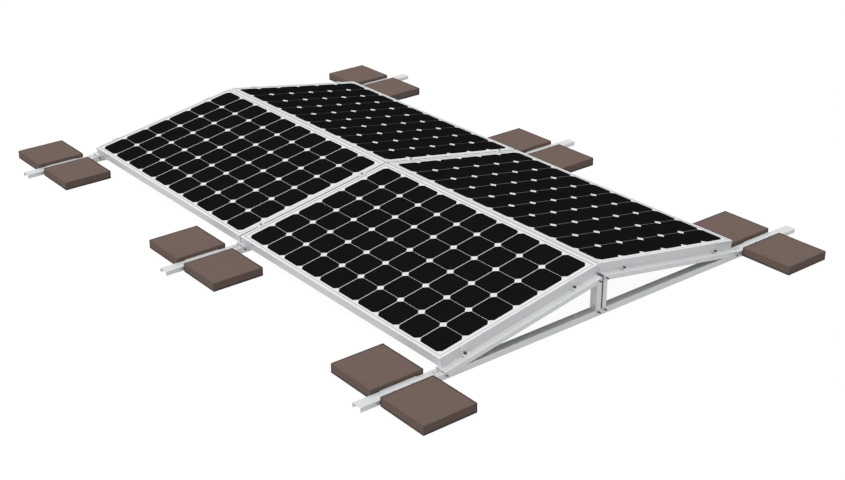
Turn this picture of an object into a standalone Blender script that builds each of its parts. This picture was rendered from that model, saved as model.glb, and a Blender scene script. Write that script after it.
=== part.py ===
"""Ballasted east-west mount with four solar modules for a flat roof.

Three triangular frames of folded steel channel carry two rows of modules back
to back. Each frame is a base rail, two sloping rails and two posts under the
ridge. A ballast rail laps over each end of a base rail, a folded tray saddles
it further out, and a pair of concrete slabs rests on the tray's two wings.

Lengths are in metres. The part stands on z = 0 with its origin under the
middle of the ridge, x runs across the ridge and y along it.
"""
import math

import bmesh
import bpy
from mathutils import Matrix, Vector

# Fits
FIT = 0.0003
SLIDE_FIT = 0.0005
HOLE_PLAY = 0.0007
OVERRUN = 0.004

# Solar module: frame section, laminate and junction box
MODULE_WIDTH = 0.992
MODULE_LENGTH = 1.650
MODULE_DEPTH = 0.0465
MODULE_GAP = 0.0126
RIDGE_CLEARANCE = 0.0007
FRAME_WALL = 0.0018
LIP_WIDTH = 0.013
LIP_WALL = 0.0012
LEDGE_WIDTH = 0.012
BACK_FLANGE_WIDTH = 0.030
LAMINATE_THICKNESS = 0.005
LAMINATE_EDGE_PLAY = 0.0012
SLOT_LENGTH = 0.014
SLOT_WIDTH = 0.009
SLOT_PLACE_SHARES = (0.26, 0.40)
JUNCTION_BOX_SIZE = Vector((0.100, 0.130, 0.022))
JUNCTION_BOX_TAPER = 0.006
JUNCTION_BOX_INSET = 0.060
JUNCTION_BOX_SINK = 0.001

# Folded steel channels
RAIL_WALL = 0.002
RAIL_BEND = 0.004
TILT = math.radians(9.76)
SLOPE_RAIL_HEIGHT = 0.0256
FRONT_REACH = 0.0285
BASE_RAIL_WIDTH = 0.048
BASE_RAIL_HEIGHT = 0.032
BASE_RAIL_END_REACH = 0.058
BALLAST_RAIL_WIDTH = 0.060
BALLAST_RAIL_HEIGHT = 0.0235
BALLAST_RAIL_LAP = 0.075
BALLAST_RAIL_REACH = 0.477
END_RAIL_OFFSET = 0.0087
BASE_SLOT_X = -0.148
BASE_SLOT_LENGTH = 0.026
BASE_SLOT_WIDTH = 0.010

# Eave joint, with reaches counted outward from the eave bolt
MODULE_EAVE_RISE = 0.0033
EAVE_BOLT_Z = 0.0215
EAVE_BOLT_DROP = 0.0207
EAVE_BOLT_EDGE = 0.0088
JOINT_SCREW_REACHES = (0.028, 0.048)

# Ridge joint
RIDGE_CENTRE_X = -0.010
RIDGE_RAIL_GAP = 0.022
POST_DEPTH = 0.046
POST_REACH = 0.0345
POST_SLIT = 0.011
POST_FOOT_Z = 0.0105
POST_TOP_DROP = 0.0045
POST_BOLT_REACH = 0.022
POST_LOW_BOLT_Z = 0.025
POST_HIGH_BOLT_DROP = 0.0145
POST_HOLE_RADIUS = 0.0045
POST_HOLE_Y = -0.012
POST_HOLE_Z = 0.059

# Ballast
SLAB_SIDE = 0.296
SLAB_HEIGHT = 0.0484
SLAB_ARRIS = 0.0025
SLAB_PAIR_GAP = 0.068
SLAB_REACH_LEFT = 0.0791
SLAB_REACH_RIGHT = 0.0428
TRAY_REACH = 0.2295
TRAY_WIDTH = 0.200
TRAY_END_INSET = 0.0288
TRAY_HEIGHT = 0.0049
TRAY_WALL = 0.0015
TRAY_BEND = 0.0025
TRAY_SCREW_SPACING = 0.105
TRAY_SCREW_Y = -0.014

# Clamps
CLAMP_LENGTH = 0.040
CLAMP_WALL = 0.0035
CLAMP_LIP = 0.009
CLAMP_FOOT = 0.025
CLAMP_BOLT_PLACE = 0.0103
CLAMP_LOW = 0.359
CLAMP_HIGH = 0.328
MID_CLAMP_WEB_DEPTH = 0.014

# Fasteners
BOLT_RADIUS = 0.003
BOLT_HEAD_RADIUS = 0.0058
BOLT_HEAD_HEIGHT = 0.0045
BOLT_TAIL = 0.006
EAVE_BOLT_TAIL = 0.003
LARGE_BOLT_RADIUS = 0.004
LARGE_NUT_RADIUS = 0.0075
LARGE_NUT_HEIGHT = 0.0065
TRAY_HEAD_RADIUS = 0.0055
TRAY_HEAD_HEIGHT = 0.002
CLAMP_HEAD_RADIUS = 0.006
CLAMP_HEAD_HEIGHT = 0.009
CLAMP_SOCKET_RADIUS = 0.003
CLAMP_SOCKET_DEPTH = 0.005
SCREW_RADIUS = 0.002
SCREW_HEAD_RADIUS = 0.0045
SCREW_HEAD_HEIGHT = 0.0025
SCREW_TAIL = 0.005

# Facets
SHARP_ANGLE = math.radians(35)
ROUND_SIDES = 12
HOLE_SIDES = 8
HEX_SIDES = 6
BEND_STEPS = 2
SLOT_END_STEPS = 3

SIDES = {"left": -1, "right": 1}
ROWS = {"near": -1, "middle": 0, "far": 1}

# Sizes that follow from the ones above
EAVE_LIFT = (EAVE_BOLT_DROP + FIT) * math.sin(TILT)
EAVE_BOLT_X = (MODULE_WIDTH + MODULE_EAVE_RISE) * math.cos(TILT) + RIDGE_CLEARANCE - EAVE_LIFT
BASE_RAIL_HALF_LENGTH = EAVE_BOLT_X + BASE_RAIL_END_REACH
TRAY_CENTRE_X = EAVE_BOLT_X + TRAY_REACH
TRAY_LENGTH = SLAB_PAIR_GAP + 2 * (SLAB_SIDE - TRAY_END_INSET)
BALLAST_RAIL_TOP = BASE_RAIL_HEIGHT + FIT + RAIL_WALL
BALLAST_RAIL_Z = BALLAST_RAIL_TOP - BALLAST_RAIL_HEIGHT
SADDLE_TOP = BALLAST_RAIL_TOP + FIT + TRAY_WALL
SADDLE_WIDTH = BALLAST_RAIL_WIDTH + 2 * (FIT + TRAY_WALL)
SLOPE_RAIL_WIDTH = BALLAST_RAIL_WIDTH + 2 * (SLIDE_FIT + RAIL_WALL)
LAP_REACH = FRONT_REACH + FIT + RAIL_WALL
BASE_RAIL_SHIFT = BASE_RAIL_WIDTH / 2 - FRONT_REACH
BALLAST_RAIL_SHIFT = BALLAST_RAIL_WIDTH / 2 - LAP_REACH
POST_SHIFT = POST_DEPTH / 2 - LAP_REACH
RAIL_FRONT = BALLAST_RAIL_SHIFT - SLOPE_RAIL_WIDTH / 2
RAIL_BACK = BALLAST_RAIL_SHIFT + SLOPE_RAIL_WIDTH / 2
FRAME_PITCH = MODULE_GAP / 2 + MODULE_LENGTH + END_RAIL_OFFSET
MODULE_CENTRE_Y = (MODULE_GAP + MODULE_LENGTH) / 2


def clear_scene():
    """Remove whatever the scene holds."""
    for item in list(bpy.data.objects):
        bpy.data.objects.remove(item, do_unlink=True)


def make_material(name, colour, roughness, metallic):
    """Return a Principled material."""
    material = bpy.data.materials.new(name)
    material.use_nodes = True
    shader = material.node_tree.nodes["Principled BSDF"]
    shader.inputs["Base Color"].default_value = (*colour, 1.0)
    shader.inputs["Roughness"].default_value = roughness
    shader.inputs["Metallic"].default_value = metallic
    return material


def finish_mesh(bm, name):
    """Turn a bmesh into a mesh with outward faces and smooth round pieces."""
    bmesh.ops.recalc_face_normals(bm, faces=bm.faces)
    mesh = bpy.data.meshes.new(name)
    bm.to_mesh(mesh)
    bm.free()
    mesh.shade_smooth()
    mesh.set_sharp_from_angle(angle=SHARP_ANGLE)
    return mesh


def add_object(name, mesh, material, location=(0, 0, 0), rotation=(0, 0, 0)):
    """Place a named object that shows the mesh in one material."""
    item = bpy.data.objects.new(name, mesh)
    bpy.context.scene.collection.objects.link(item)
    item.location = location
    item.rotation_euler = rotation
    if not mesh.materials:
        mesh.materials.append(material)
    return item


def add_tool(carrier, bm, operation):
    """Cut a tool's shape out of the carrier, or unite the two."""
    label = f"{carrier.name}_{operation.lower()}_{len(carrier.modifiers)}"
    tool = bpy.data.objects.new(label, finish_mesh(bm, label))
    bpy.context.scene.collection.objects.link(tool)
    tool.parent = carrier
    tool.hide_render = True
    tool.display_type = "WIRE"
    boolean = carrier.modifiers.new(label, "BOOLEAN")
    boolean.operation = operation
    boolean.solver = "EXACT"
    boolean.object = tool


def arc(centre, radius, start, end):
    """Return points on an arc between two angles in degrees."""
    angles = [math.radians(start + (end - start) * step / BEND_STEPS) for step in range(BEND_STEPS + 1)]
    return [(centre[0] + radius * math.cos(a), centre[1] + radius * math.sin(a)) for a in angles]


def channel_outline(width, height, wall, bend):
    """Return the outline of a folded channel, web up at z = 0 and open below."""
    half = width / 2
    left = (bend - half, -bend)
    right = (half - bend, -bend)
    outside = [(-half, -height), *arc(left, bend, 180, 90), *arc(right, bend, 90, 0), (half, -height)]
    inner = bend - wall
    inside = [(half - wall, -height), *arc(right, inner, 0, 90), *arc(left, inner, 90, 180), (wall - half, -height)]
    return outside + inside


def shift_outline(outline, shift):
    """Return an outline moved along y."""
    return [(y + shift, z) for y, z in outline]


def add_loft(bm, rings):
    """Skin rings of points into one closed solid."""
    loops = [[bm.verts.new(point) for point in ring] for ring in rings]
    for lower, upper in zip(loops, loops[1:]):
        for k in range(len(lower)):
            following = (k + 1) % len(lower)
            bm.faces.new((lower[k], lower[following], upper[following], upper[k]))
    bm.faces.new(list(reversed(loops[0])))
    bm.faces.new(loops[-1])


def extrude_outline(outline, start, end):
    """Extrude a y-z outline along x."""
    bm = bmesh.new()
    add_loft(bm, [[(x, y, z) for y, z in outline] for x in (start, end)])
    return bm


def add_block(bm, low, high):
    """Add a box between two corners and return its vertices."""
    low = Vector(low)
    size = Vector(high) - low
    place = Matrix.Translation(low + size / 2) @ Matrix.Diagonal((*size, 1))
    return bmesh.ops.create_cube(bm, size=1, matrix=place)["verts"]


def axis_turn(axis):
    """Return the turn that lays the z axis along the y axis when asked."""
    return Matrix.Rotation(-math.pi / 2, 4, "X") if axis == "Y" else Matrix.Identity(4)


def add_turned(bm, place, axis, stations, sides):
    """Add a solid of revolution through (distance, radius) stations on an axis."""
    turn = Matrix.Translation(place) @ axis_turn(axis)
    angles = [math.pi * (2 * k + 1) / sides for k in range(sides)]
    rings = []
    for distance, radius in stations:
        rings.append([turn @ Vector((radius * math.cos(a), radius * math.sin(a), distance)) for a in angles])
    add_loft(bm, rings)


def add_drill(bm, place, axis, start, end, radius):
    """Add a round cutter along an axis."""
    add_turned(bm, place, axis, [(start, radius), (end, radius)], HOLE_SIDES)


def add_slot(bm, centre, length, width, low, high):
    """Add an upright cutter with round ends, its length along x."""
    reach = (length - width) / 2
    points = []
    for end in (1, -1):
        for step in range(SLOT_END_STEPS + 1):
            angle = math.pi * (step / SLOT_END_STEPS - 1 / 2)
            x = end * (reach + width / 2 * math.cos(angle))
            points.append((centre[0] + x, centre[1] + end * width / 2 * math.sin(angle)))
    add_loft(bm, [[(x, y, z) for x, y in points] for z in (low, high)])


def add_bolt(bm, place, head, nut, tail, side):
    """Add a hexagon bolt along y, its head towards the near end.

    head and nut each give the distances at which that piece begins and ends.
    side is -1 where the carrier is turned half way round.
    """
    stations = [
        (head[0], BOLT_HEAD_RADIUS),
        (head[1], BOLT_HEAD_RADIUS),
        (head[1], BOLT_RADIUS),
        (nut[0], BOLT_RADIUS),
        (nut[0], BOLT_HEAD_RADIUS),
        (nut[1], BOLT_HEAD_RADIUS),
        (nut[1], BOLT_RADIUS),
        (nut[1] + tail, BOLT_RADIUS),
    ]
    add_turned(bm, place, "Y", [(side * distance, radius) for distance, radius in stations], HEX_SIDES)


def add_screw(bm, place, stem_end, seat, side):
    """Add a hexagon screw along y, its head towards the near end from seat on."""
    stations = [
        (seat - RAIL_WALL / 2 - BOLT_HEAD_HEIGHT, BOLT_HEAD_RADIUS),
        (seat, BOLT_HEAD_RADIUS),
        (seat, BOLT_RADIUS),
        (stem_end, BOLT_RADIUS),
    ]
    add_turned(bm, place, "Y", [(side * distance, radius) for distance, radius in stations], HEX_SIDES)


def rail_point(side, rise, up):
    """Return x and z of a point over a sloping rail.

    rise is the way up the slope from the eave bolt, and up is the height over
    the rail's top face.
    """
    lift = EAVE_BOLT_DROP + up
    x = EAVE_BOLT_X + lift * math.sin(TILT) - rise * math.cos(TILT)
    z = EAVE_BOLT_Z + lift * math.cos(TILT) + rise * math.sin(TILT)
    return side * x, z


def rise_to(side, x, up):
    """Return the rise at which a line at height up over the rail reaches x."""
    lift = EAVE_BOLT_DROP + up
    return (EAVE_BOLT_X + lift * math.sin(TILT) - side * x) / math.cos(TILT)


def slope_turn(side):
    """Return the rotation whose local x runs down the slope on this side."""
    return (0, TILT, 0 if side > 0 else math.pi)


def module_rise():
    """Return the rise of a module's centre line from the eave bolt."""
    return MODULE_EAVE_RISE + MODULE_WIDTH / 2


def slab_start(side):
    """Return how far from the ridge the slabs of one side begin."""
    return EAVE_BOLT_X + (SLAB_REACH_RIGHT if side > 0 else SLAB_REACH_LEFT)


def frame_section():
    """Return the module frame's section as (inward distance, height) points."""
    lip_low = MODULE_DEPTH - LIP_WALL
    ledge_top = lip_low - LAMINATE_THICKNESS - 2 * FIT
    ledge_low = ledge_top - FRAME_WALL
    return [
        (0, 0),
        (BACK_FLANGE_WIDTH, 0),
        (BACK_FLANGE_WIDTH, FRAME_WALL),
        (FRAME_WALL, FRAME_WALL),
        (FRAME_WALL, ledge_low),
        (LEDGE_WIDTH, ledge_low),
        (LEDGE_WIDTH, ledge_top),
        (FRAME_WALL, ledge_top),
        (FRAME_WALL, lip_low),
        (LIP_WIDTH, lip_low),
        (LIP_WIDTH, MODULE_DEPTH),
        (0, MODULE_DEPTH),
    ]


def module_frame_mesh():
    """Sweep the frame section round the module with mitred corners."""
    bm = bmesh.new()
    half_x = MODULE_WIDTH / 2
    half_y = MODULE_LENGTH / 2
    corners = []
    for sx, sy in ((1, 1), (-1, 1), (-1, -1), (1, -1)):
        ring = [bm.verts.new((sx * (half_x - d), sy * (half_y - d), z)) for d, z in frame_section()]
        corners.append(ring)
    for k, ring in enumerate(corners):
        following = corners[(k + 1) % len(corners)]
        for i in range(len(ring)):
            j = (i + 1) % len(ring)
            bm.faces.new((ring[i], ring[j], following[j], following[i]))
    return finish_mesh(bm, "module_frame")


def cut_frame_slots(item):
    """Cut the fixing slots through the back flange of a module frame."""
    bm = bmesh.new()
    x = MODULE_WIDTH / 2 - (BACK_FLANGE_WIDTH + FRAME_WALL) / 2
    for share in SLOT_PLACE_SHARES:
        for sx in (-1, 1):
            for sy in (-1, 1):
                place = (sx * x, sy * share * MODULE_LENGTH)
                add_slot(bm, place, SLOT_LENGTH, SLOT_WIDTH, -OVERRUN, FRAME_WALL + OVERRUN)
    add_tool(item, bm, "DIFFERENCE")


def laminate_mesh():
    """Return the glass, cells and backsheet as one plate, top face at z = 0."""
    bm = bmesh.new()
    half_x = MODULE_WIDTH / 2 - FRAME_WALL - LAMINATE_EDGE_PLAY
    half_y = MODULE_LENGTH / 2 - FRAME_WALL - LAMINATE_EDGE_PLAY
    add_block(bm, (-half_x, -half_y, -LAMINATE_THICKNESS), (half_x, half_y, 0))
    return finish_mesh(bm, "laminate")


def add_junction_box(item):
    """Bond the junction box to the back of a laminate, near the ridge."""
    bm = bmesh.new()
    size = JUNCTION_BOX_SIZE
    inner_x = BACK_FLANGE_WIDTH + JUNCTION_BOX_INSET - MODULE_WIDTH / 2
    low = Vector((inner_x, -size.y / 2, -LAMINATE_THICKNESS - size.z))
    high = Vector((inner_x + size.x, size.y / 2, JUNCTION_BOX_SINK - LAMINATE_THICKNESS))
    verts = add_block(bm, low, high)
    centre = (low + high) / 2
    for vert in verts:
        if vert.co.z < centre.z:
            vert.co.x -= math.copysign(JUNCTION_BOX_TAPER, vert.co.x - centre.x)
            vert.co.y -= math.copysign(JUNCTION_BOX_TAPER, vert.co.y - centre.y)
    add_tool(item, bm, "UNION")


def build_modules(aluminium, glass):
    """Place the four framed modules."""
    frame = module_frame_mesh()
    plate = laminate_mesh()
    rise = module_rise()
    for side_name, side in SIDES.items():
        for row_name in ("near", "far"):
            y = ROWS[row_name] * MODULE_CENTRE_Y
            x, z = rail_point(side, rise, FIT)
            turn = slope_turn(side)
            item = add_object(f"module_frame_{row_name}_{side_name}", frame, aluminium, (x, y, z), turn)
            cut_frame_slots(item)
            x, z = rail_point(side, rise, MODULE_DEPTH - LIP_WALL)
            item = add_object(f"laminate_{row_name}_{side_name}", plate, glass, (x, y, z), turn)
            add_junction_box(item)


def base_rail_mesh():
    """Return the base rail's channel, its open side on the ground."""
    outline = channel_outline(BASE_RAIL_WIDTH, BASE_RAIL_HEIGHT, RAIL_WALL, RAIL_BEND)
    outline = shift_outline(outline, BASE_RAIL_SHIFT)
    bm = extrude_outline(outline, -BASE_RAIL_HALF_LENGTH, BASE_RAIL_HALF_LENGTH)
    bmesh.ops.translate(bm, verts=bm.verts, vec=(0, 0, BASE_RAIL_HEIGHT))
    return finish_mesh(bm, "base_rail")


def drill_base_rail(item):
    """Cut the bolt holes, the screw holes and the cable slot of a base rail."""
    bm = bmesh.new()
    reach = BASE_RAIL_WIDTH / 2 + OVERRUN
    radius = BOLT_RADIUS + HOLE_PLAY
    low = BASE_RAIL_HEIGHT - RAIL_WALL - OVERRUN
    high = BASE_RAIL_HEIGHT + OVERRUN
    for side in SIDES.values():
        place = (side * EAVE_BOLT_X, BASE_RAIL_SHIFT, EAVE_BOLT_Z)
        add_drill(bm, place, "Y", -reach, reach, radius)
        place = (RIDGE_CENTRE_X + side * POST_BOLT_REACH, -FRONT_REACH, POST_LOW_BOLT_Z)
        add_drill(bm, place, "Y", -OVERRUN, RAIL_WALL + OVERRUN, radius)
        for screw in JOINT_SCREW_REACHES:
            place = (side * (EAVE_BOLT_X + screw), 0, 0)
            add_drill(bm, place, "Z", low, high, SCREW_RADIUS + HOLE_PLAY)
    add_slot(bm, (BASE_SLOT_X, 0), BASE_SLOT_LENGTH, BASE_SLOT_WIDTH, low, high)
    add_tool(item, bm, "DIFFERENCE")


def build_base_rails(steel):
    """Place one base rail under each frame."""
    mesh = base_rail_mesh()
    for row_name, row in ROWS.items():
        item = add_object(f"base_rail_{row_name}", mesh, steel, (0, row * FRAME_PITCH, 0))
        drill_base_rail(item)


def ballast_rail_mesh(side):
    """Return one ballast rail, lying along +x with its foot at z = 0."""
    outline = channel_outline(BALLAST_RAIL_WIDTH, BALLAST_RAIL_HEIGHT, RAIL_WALL, RAIL_BEND)
    outline = shift_outline(outline, side * BALLAST_RAIL_SHIFT)
    bm = extrude_outline(outline, EAVE_BOLT_X - BALLAST_RAIL_LAP, EAVE_BOLT_X + BALLAST_RAIL_REACH)
    bmesh.ops.translate(bm, verts=bm.verts, vec=(0, 0, BALLAST_RAIL_HEIGHT))
    return finish_mesh(bm, "ballast_rail")


def drill_ballast_rail(item, side):
    """Cut the holes of the eave bolt and the tray's screws."""
    bm = bmesh.new()
    reach = SLOPE_RAIL_WIDTH / 2 + OVERRUN
    eave = (EAVE_BOLT_X, 0, EAVE_BOLT_Z - BALLAST_RAIL_Z)
    add_drill(bm, eave, "Y", -reach, reach, BOLT_RADIUS + HOLE_PLAY)
    low = BALLAST_RAIL_HEIGHT - RAIL_WALL - OVERRUN
    high = BALLAST_RAIL_HEIGHT + OVERRUN
    for end in (-1, 1):
        place = (TRAY_CENTRE_X + end * TRAY_SCREW_SPACING / 2, side * TRAY_SCREW_Y, 0)
        add_drill(bm, place, "Z", low, high, SCREW_RADIUS + HOLE_PLAY)
    add_tool(item, bm, "DIFFERENCE")


def add_joint_screws(item):
    """Screw the ballast rail's web down to the web of the base rail inside it."""
    bm = bmesh.new()
    stations = [
        (BALLAST_RAIL_HEIGHT - 2 * RAIL_WALL - SCREW_TAIL, SCREW_RADIUS),
        (BALLAST_RAIL_HEIGHT - RAIL_WALL / 2, SCREW_RADIUS),
        (BALLAST_RAIL_HEIGHT - RAIL_WALL / 2, SCREW_HEAD_RADIUS),
        (BALLAST_RAIL_HEIGHT + SCREW_HEAD_HEIGHT, SCREW_HEAD_RADIUS / 2),
    ]
    for reach in JOINT_SCREW_REACHES:
        add_turned(bm, (EAVE_BOLT_X + reach, 0, 0), "Z", stations, HEX_SIDES)
    add_tool(item, bm, "UNION")


def build_ballast_rails(steel):
    """Place a ballast rail over each end of each base rail."""
    for side_name, side in SIDES.items():
        mesh = ballast_rail_mesh(side)
        for row_name, row in ROWS.items():
            place = (0, row * FRAME_PITCH, BALLAST_RAIL_Z)
            turn = (0, 0, 0 if side > 0 else math.pi)
            item = add_object(f"ballast_rail_{row_name}_{side_name}", mesh, steel, place, turn)
            drill_ballast_rail(item, side)
            add_joint_screws(item)


def slope_rail_mesh(side):
    """Return a sloping rail, its eave bolt's station at x = 0 and top at z = 0."""
    outline = channel_outline(SLOPE_RAIL_WIDTH, SLOPE_RAIL_HEIGHT, RAIL_WALL, RAIL_BEND)
    outline = shift_outline(outline, side * BALLAST_RAIL_SHIFT)
    ridge_end = RIDGE_CENTRE_X + side * RIDGE_RAIL_GAP / 2
    bm = extrude_outline(outline, -rise_to(side, ridge_end, 0), EAVE_BOLT_EDGE)
    return finish_mesh(bm, "slope_rail")


def clamp_stations():
    """Return how far up the slope from the eave bolt the clamps sit."""
    return {"low": module_rise() - CLAMP_LOW, "high": module_rise() + CLAMP_HIGH}


def clamp_shift(row):
    """Return how far a row's clamp bolts lie from its frame's plane."""
    return row * (CLAMP_BOLT_PLACE - END_RAIL_OFFSET)


def drill_slope_rail(item, side, row):
    """Cut the holes of the clamp bolts and the post bolt."""
    bm = bmesh.new()
    for rise in clamp_stations().values():
        place = (-rise, side * clamp_shift(row), 0)
        add_drill(bm, place, "Z", -RAIL_WALL - OVERRUN, OVERRUN, LARGE_BOLT_RADIUS + HOLE_PLAY)
    post_bolt_x = RIDGE_CENTRE_X + side * POST_BOLT_REACH
    rise = rise_to(side, post_bolt_x, -POST_HIGH_BOLT_DROP)
    place = (-rise, side * RAIL_FRONT, -POST_HIGH_BOLT_DROP)
    add_drill(bm, place, "Y", -side * OVERRUN, side * (RAIL_WALL + OVERRUN), BOLT_RADIUS + HOLE_PLAY)
    add_tool(item, bm, "DIFFERENCE")


def add_eave_bolt(item, side):
    """Fix the eave bolt in the rail's flanges, head towards the near end."""
    bm = bmesh.new()
    head = (RAIL_FRONT - BOLT_HEAD_HEIGHT, RAIL_FRONT + RAIL_WALL / 2)
    nut = (RAIL_BACK - RAIL_WALL / 2, RAIL_BACK + BOLT_HEAD_HEIGHT)
    add_bolt(bm, (0, 0, -EAVE_BOLT_DROP), head, nut, EAVE_BOLT_TAIL, side)
    add_tool(item, bm, "UNION")


def build_slope_rails(steel):
    """Place the two sloping rails of each frame."""
    for side_name, side in SIDES.items():
        mesh = slope_rail_mesh(side)
        for row_name, row in ROWS.items():
            x, z = rail_point(side, 0, 0)
            place = (x, row * FRAME_PITCH, z)
            item = add_object(f"slope_rail_{row_name}_{side_name}", mesh, steel, place, slope_turn(side))
            drill_slope_rail(item, side, row)
            add_eave_bolt(item, side)


def post_mesh(side, height):
    """Return a post's channel lying along x, web up at z = 0."""
    flange = POST_REACH - POST_SLIT / 2
    outline = channel_outline(POST_DEPTH, flange, RAIL_WALL, RAIL_BEND)
    outline = shift_outline(outline, -side * POST_SHIFT)
    return finish_mesh(extrude_outline(outline, POST_FOOT_Z, height), "post")


def post_height(side, z, up):
    """Return the height of the line up over the rail at local z of a post."""
    x = side * RIDGE_CENTRE_X + POST_REACH + z
    rise = rise_to(1, x, up)
    return rail_point(1, rise, up)[1]


def cut_post(item, side):
    """Stand web and back flange on the base rail and cut the top to the slope."""
    depth = POST_REACH + OVERRUN
    foot = bmesh.new()
    floor = BASE_RAIL_HEIGHT + FIT
    front = side * (LAP_REACH - RAIL_WALL)
    back = -side * (POST_DEPTH + OVERRUN)
    low = (POST_FOOT_Z - OVERRUN, min(front, back), -depth)
    add_block(foot, low, (floor, max(front, back), OVERRUN))
    add_tool(item, foot, "DIFFERENCE")
    cap = bmesh.new()
    add_block(cap, (0, -POST_DEPTH, -depth), (SLOPE_RAIL_HEIGHT + OVERRUN, POST_DEPTH, RAIL_BEND))
    top = Matrix.Translation((post_height(side, 0, -POST_TOP_DROP), 0, 0))
    bmesh.ops.transform(cap, matrix=top @ Matrix.Rotation(-TILT, 4, "Y"), verts=cap.verts)
    add_tool(item, cap, "DIFFERENCE")


def fit_post(item, side):
    """Drill the web and fix the post's bolt and screw in its front flange."""
    hole = bmesh.new()
    place = (POST_HOLE_Z, -side * POST_HOLE_Y, 0)
    add_drill(hole, place, "Z", -RAIL_WALL - OVERRUN, OVERRUN, POST_HOLE_RADIUS)
    add_tool(item, hole, "DIFFERENCE")
    bolts = bmesh.new()
    across = POST_BOLT_REACH - POST_REACH
    seat = RAIL_WALL / 2 - LAP_REACH
    head = (RAIL_FRONT - FIT - BOLT_HEAD_HEIGHT, RAIL_FRONT - FIT)
    nut = (seat, RAIL_WALL + BOLT_HEAD_HEIGHT - LAP_REACH)
    high = post_height(side, across, -POST_HIGH_BOLT_DROP)
    add_bolt(bolts, (high, 0, across), head, nut, BOLT_TAIL, -side)
    stem_end = RAIL_WALL + BOLT_TAIL - FRONT_REACH
    add_screw(bolts, (POST_LOW_BOLT_Z, 0, across), stem_end, seat, -side)
    add_tool(item, bolts, "UNION")


def build_posts(steel):
    """Place the pair of posts under each frame's ridge."""
    for side_name, side in SIDES.items():
        mesh = post_mesh(side, post_height(side, POST_SLIT / 2 - POST_REACH, 0))
        turn = (0, -math.pi / 2, 0 if side < 0 else math.pi)
        for row_name, row in ROWS.items():
            place = (RIDGE_CENTRE_X + side * POST_REACH, row * FRAME_PITCH, 0)
            item = add_object(f"post_{row_name}_{side_name}", mesh, steel, place, turn)
            cut_post(item, side)
            fit_post(item, side)


def end_clamp_mesh():
    """Return an end clamp over the rail's top face at z = 0.

    The module's end face is at y = 0 with the module on the +y side.
    """
    top = MODULE_DEPTH + 2 * FIT
    web = -FIT - CLAMP_WALL
    outline = [
        (-CLAMP_FOOT, FIT),
        (-FIT, FIT),
        (-FIT, top),
        (CLAMP_LIP, top),
        (CLAMP_LIP, top + CLAMP_WALL),
        (web, top + CLAMP_WALL),
        (web, FIT + CLAMP_WALL),
        (-CLAMP_FOOT, FIT + CLAMP_WALL),
    ]
    return finish_mesh(extrude_outline(outline, -CLAMP_LENGTH / 2, CLAMP_LENGTH / 2), "end_clamp")


def mid_clamp_mesh():
    """Return a clamp whose plate bridges the gap between two modules."""
    low = MODULE_DEPTH + 2 * FIT
    half = MODULE_GAP / 2
    web = half - FIT
    wing = half + CLAMP_LIP
    outline = [
        (-wing, low),
        (-web, low),
        (-web, low - MID_CLAMP_WEB_DEPTH),
        (web, low - MID_CLAMP_WEB_DEPTH),
        (web, low),
        (wing, low),
        (wing, low + CLAMP_WALL),
        (-wing, low + CLAMP_WALL),
    ]
    return finish_mesh(extrude_outline(outline, -CLAMP_LENGTH / 2, CLAMP_LENGTH / 2), "mid_clamp")


def add_clamp_bolt(item, y, seat):
    """Fix a socket-head bolt with its head on the clamp and its nut under the rail.

    seat is the height of the face under the head.
    """
    bm = bmesh.new()
    nut_top = -RAIL_WALL - FIT
    nut_low = nut_top - LARGE_NUT_HEIGHT
    top = seat + CLAMP_HEAD_HEIGHT
    sunk = seat - CLAMP_WALL / 2
    stations = [
        (nut_low, LARGE_NUT_RADIUS),
        (nut_top, LARGE_NUT_RADIUS),
        (nut_top, LARGE_BOLT_RADIUS),
        (sunk, LARGE_BOLT_RADIUS),
        (sunk, CLAMP_HEAD_RADIUS),
        (top, CLAMP_HEAD_RADIUS),
        (top, CLAMP_SOCKET_RADIUS),
        (top - CLAMP_SOCKET_DEPTH, CLAMP_SOCKET_RADIUS),
    ]
    add_turned(bm, (0, y, 0), "Z", stations, ROUND_SIDES)
    add_tool(item, bm, "UNION")


def build_clamps(aluminium):
    """Place the end clamps on the outer frames and the mid clamps between."""
    end_mesh = end_clamp_mesh()
    mid_mesh = mid_clamp_mesh()
    end_y = MODULE_GAP / 2 + MODULE_LENGTH
    for side_name, side in SIDES.items():
        for station, rise in clamp_stations().items():
            x, z = rail_point(side, rise, 0)
            for row_name in ("near", "far"):
                row = ROWS[row_name]
                name = f"end_clamp_{row_name}_{side_name}_{station}"
                turn = (0, -row * side * TILT, 0 if row < 0 else math.pi)
                item = add_object(name, end_mesh, aluminium, (x, row * end_y, z), turn)
                add_clamp_bolt(item, -CLAMP_BOLT_PLACE, FIT + CLAMP_WALL)
            name = f"mid_clamp_{side_name}_{station}"
            item = add_object(name, mid_mesh, aluminium, (x, 0, z), slope_turn(side))
            add_clamp_bolt(item, 0, MODULE_DEPTH + 2 * FIT + CLAMP_WALL)


def tray_mesh():
    """Return a ballast tray's folded sheet before its saddle is set in."""
    outline = channel_outline(TRAY_WIDTH, TRAY_HEIGHT, TRAY_WALL, TRAY_BEND)
    bm = extrude_outline(outline, -TRAY_LENGTH / 2, TRAY_LENGTH / 2)
    bmesh.ops.translate(bm, verts=bm.verts, vec=(0, 0, TRAY_HEIGHT))
    return finish_mesh(bm, "ballast_tray")


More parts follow.
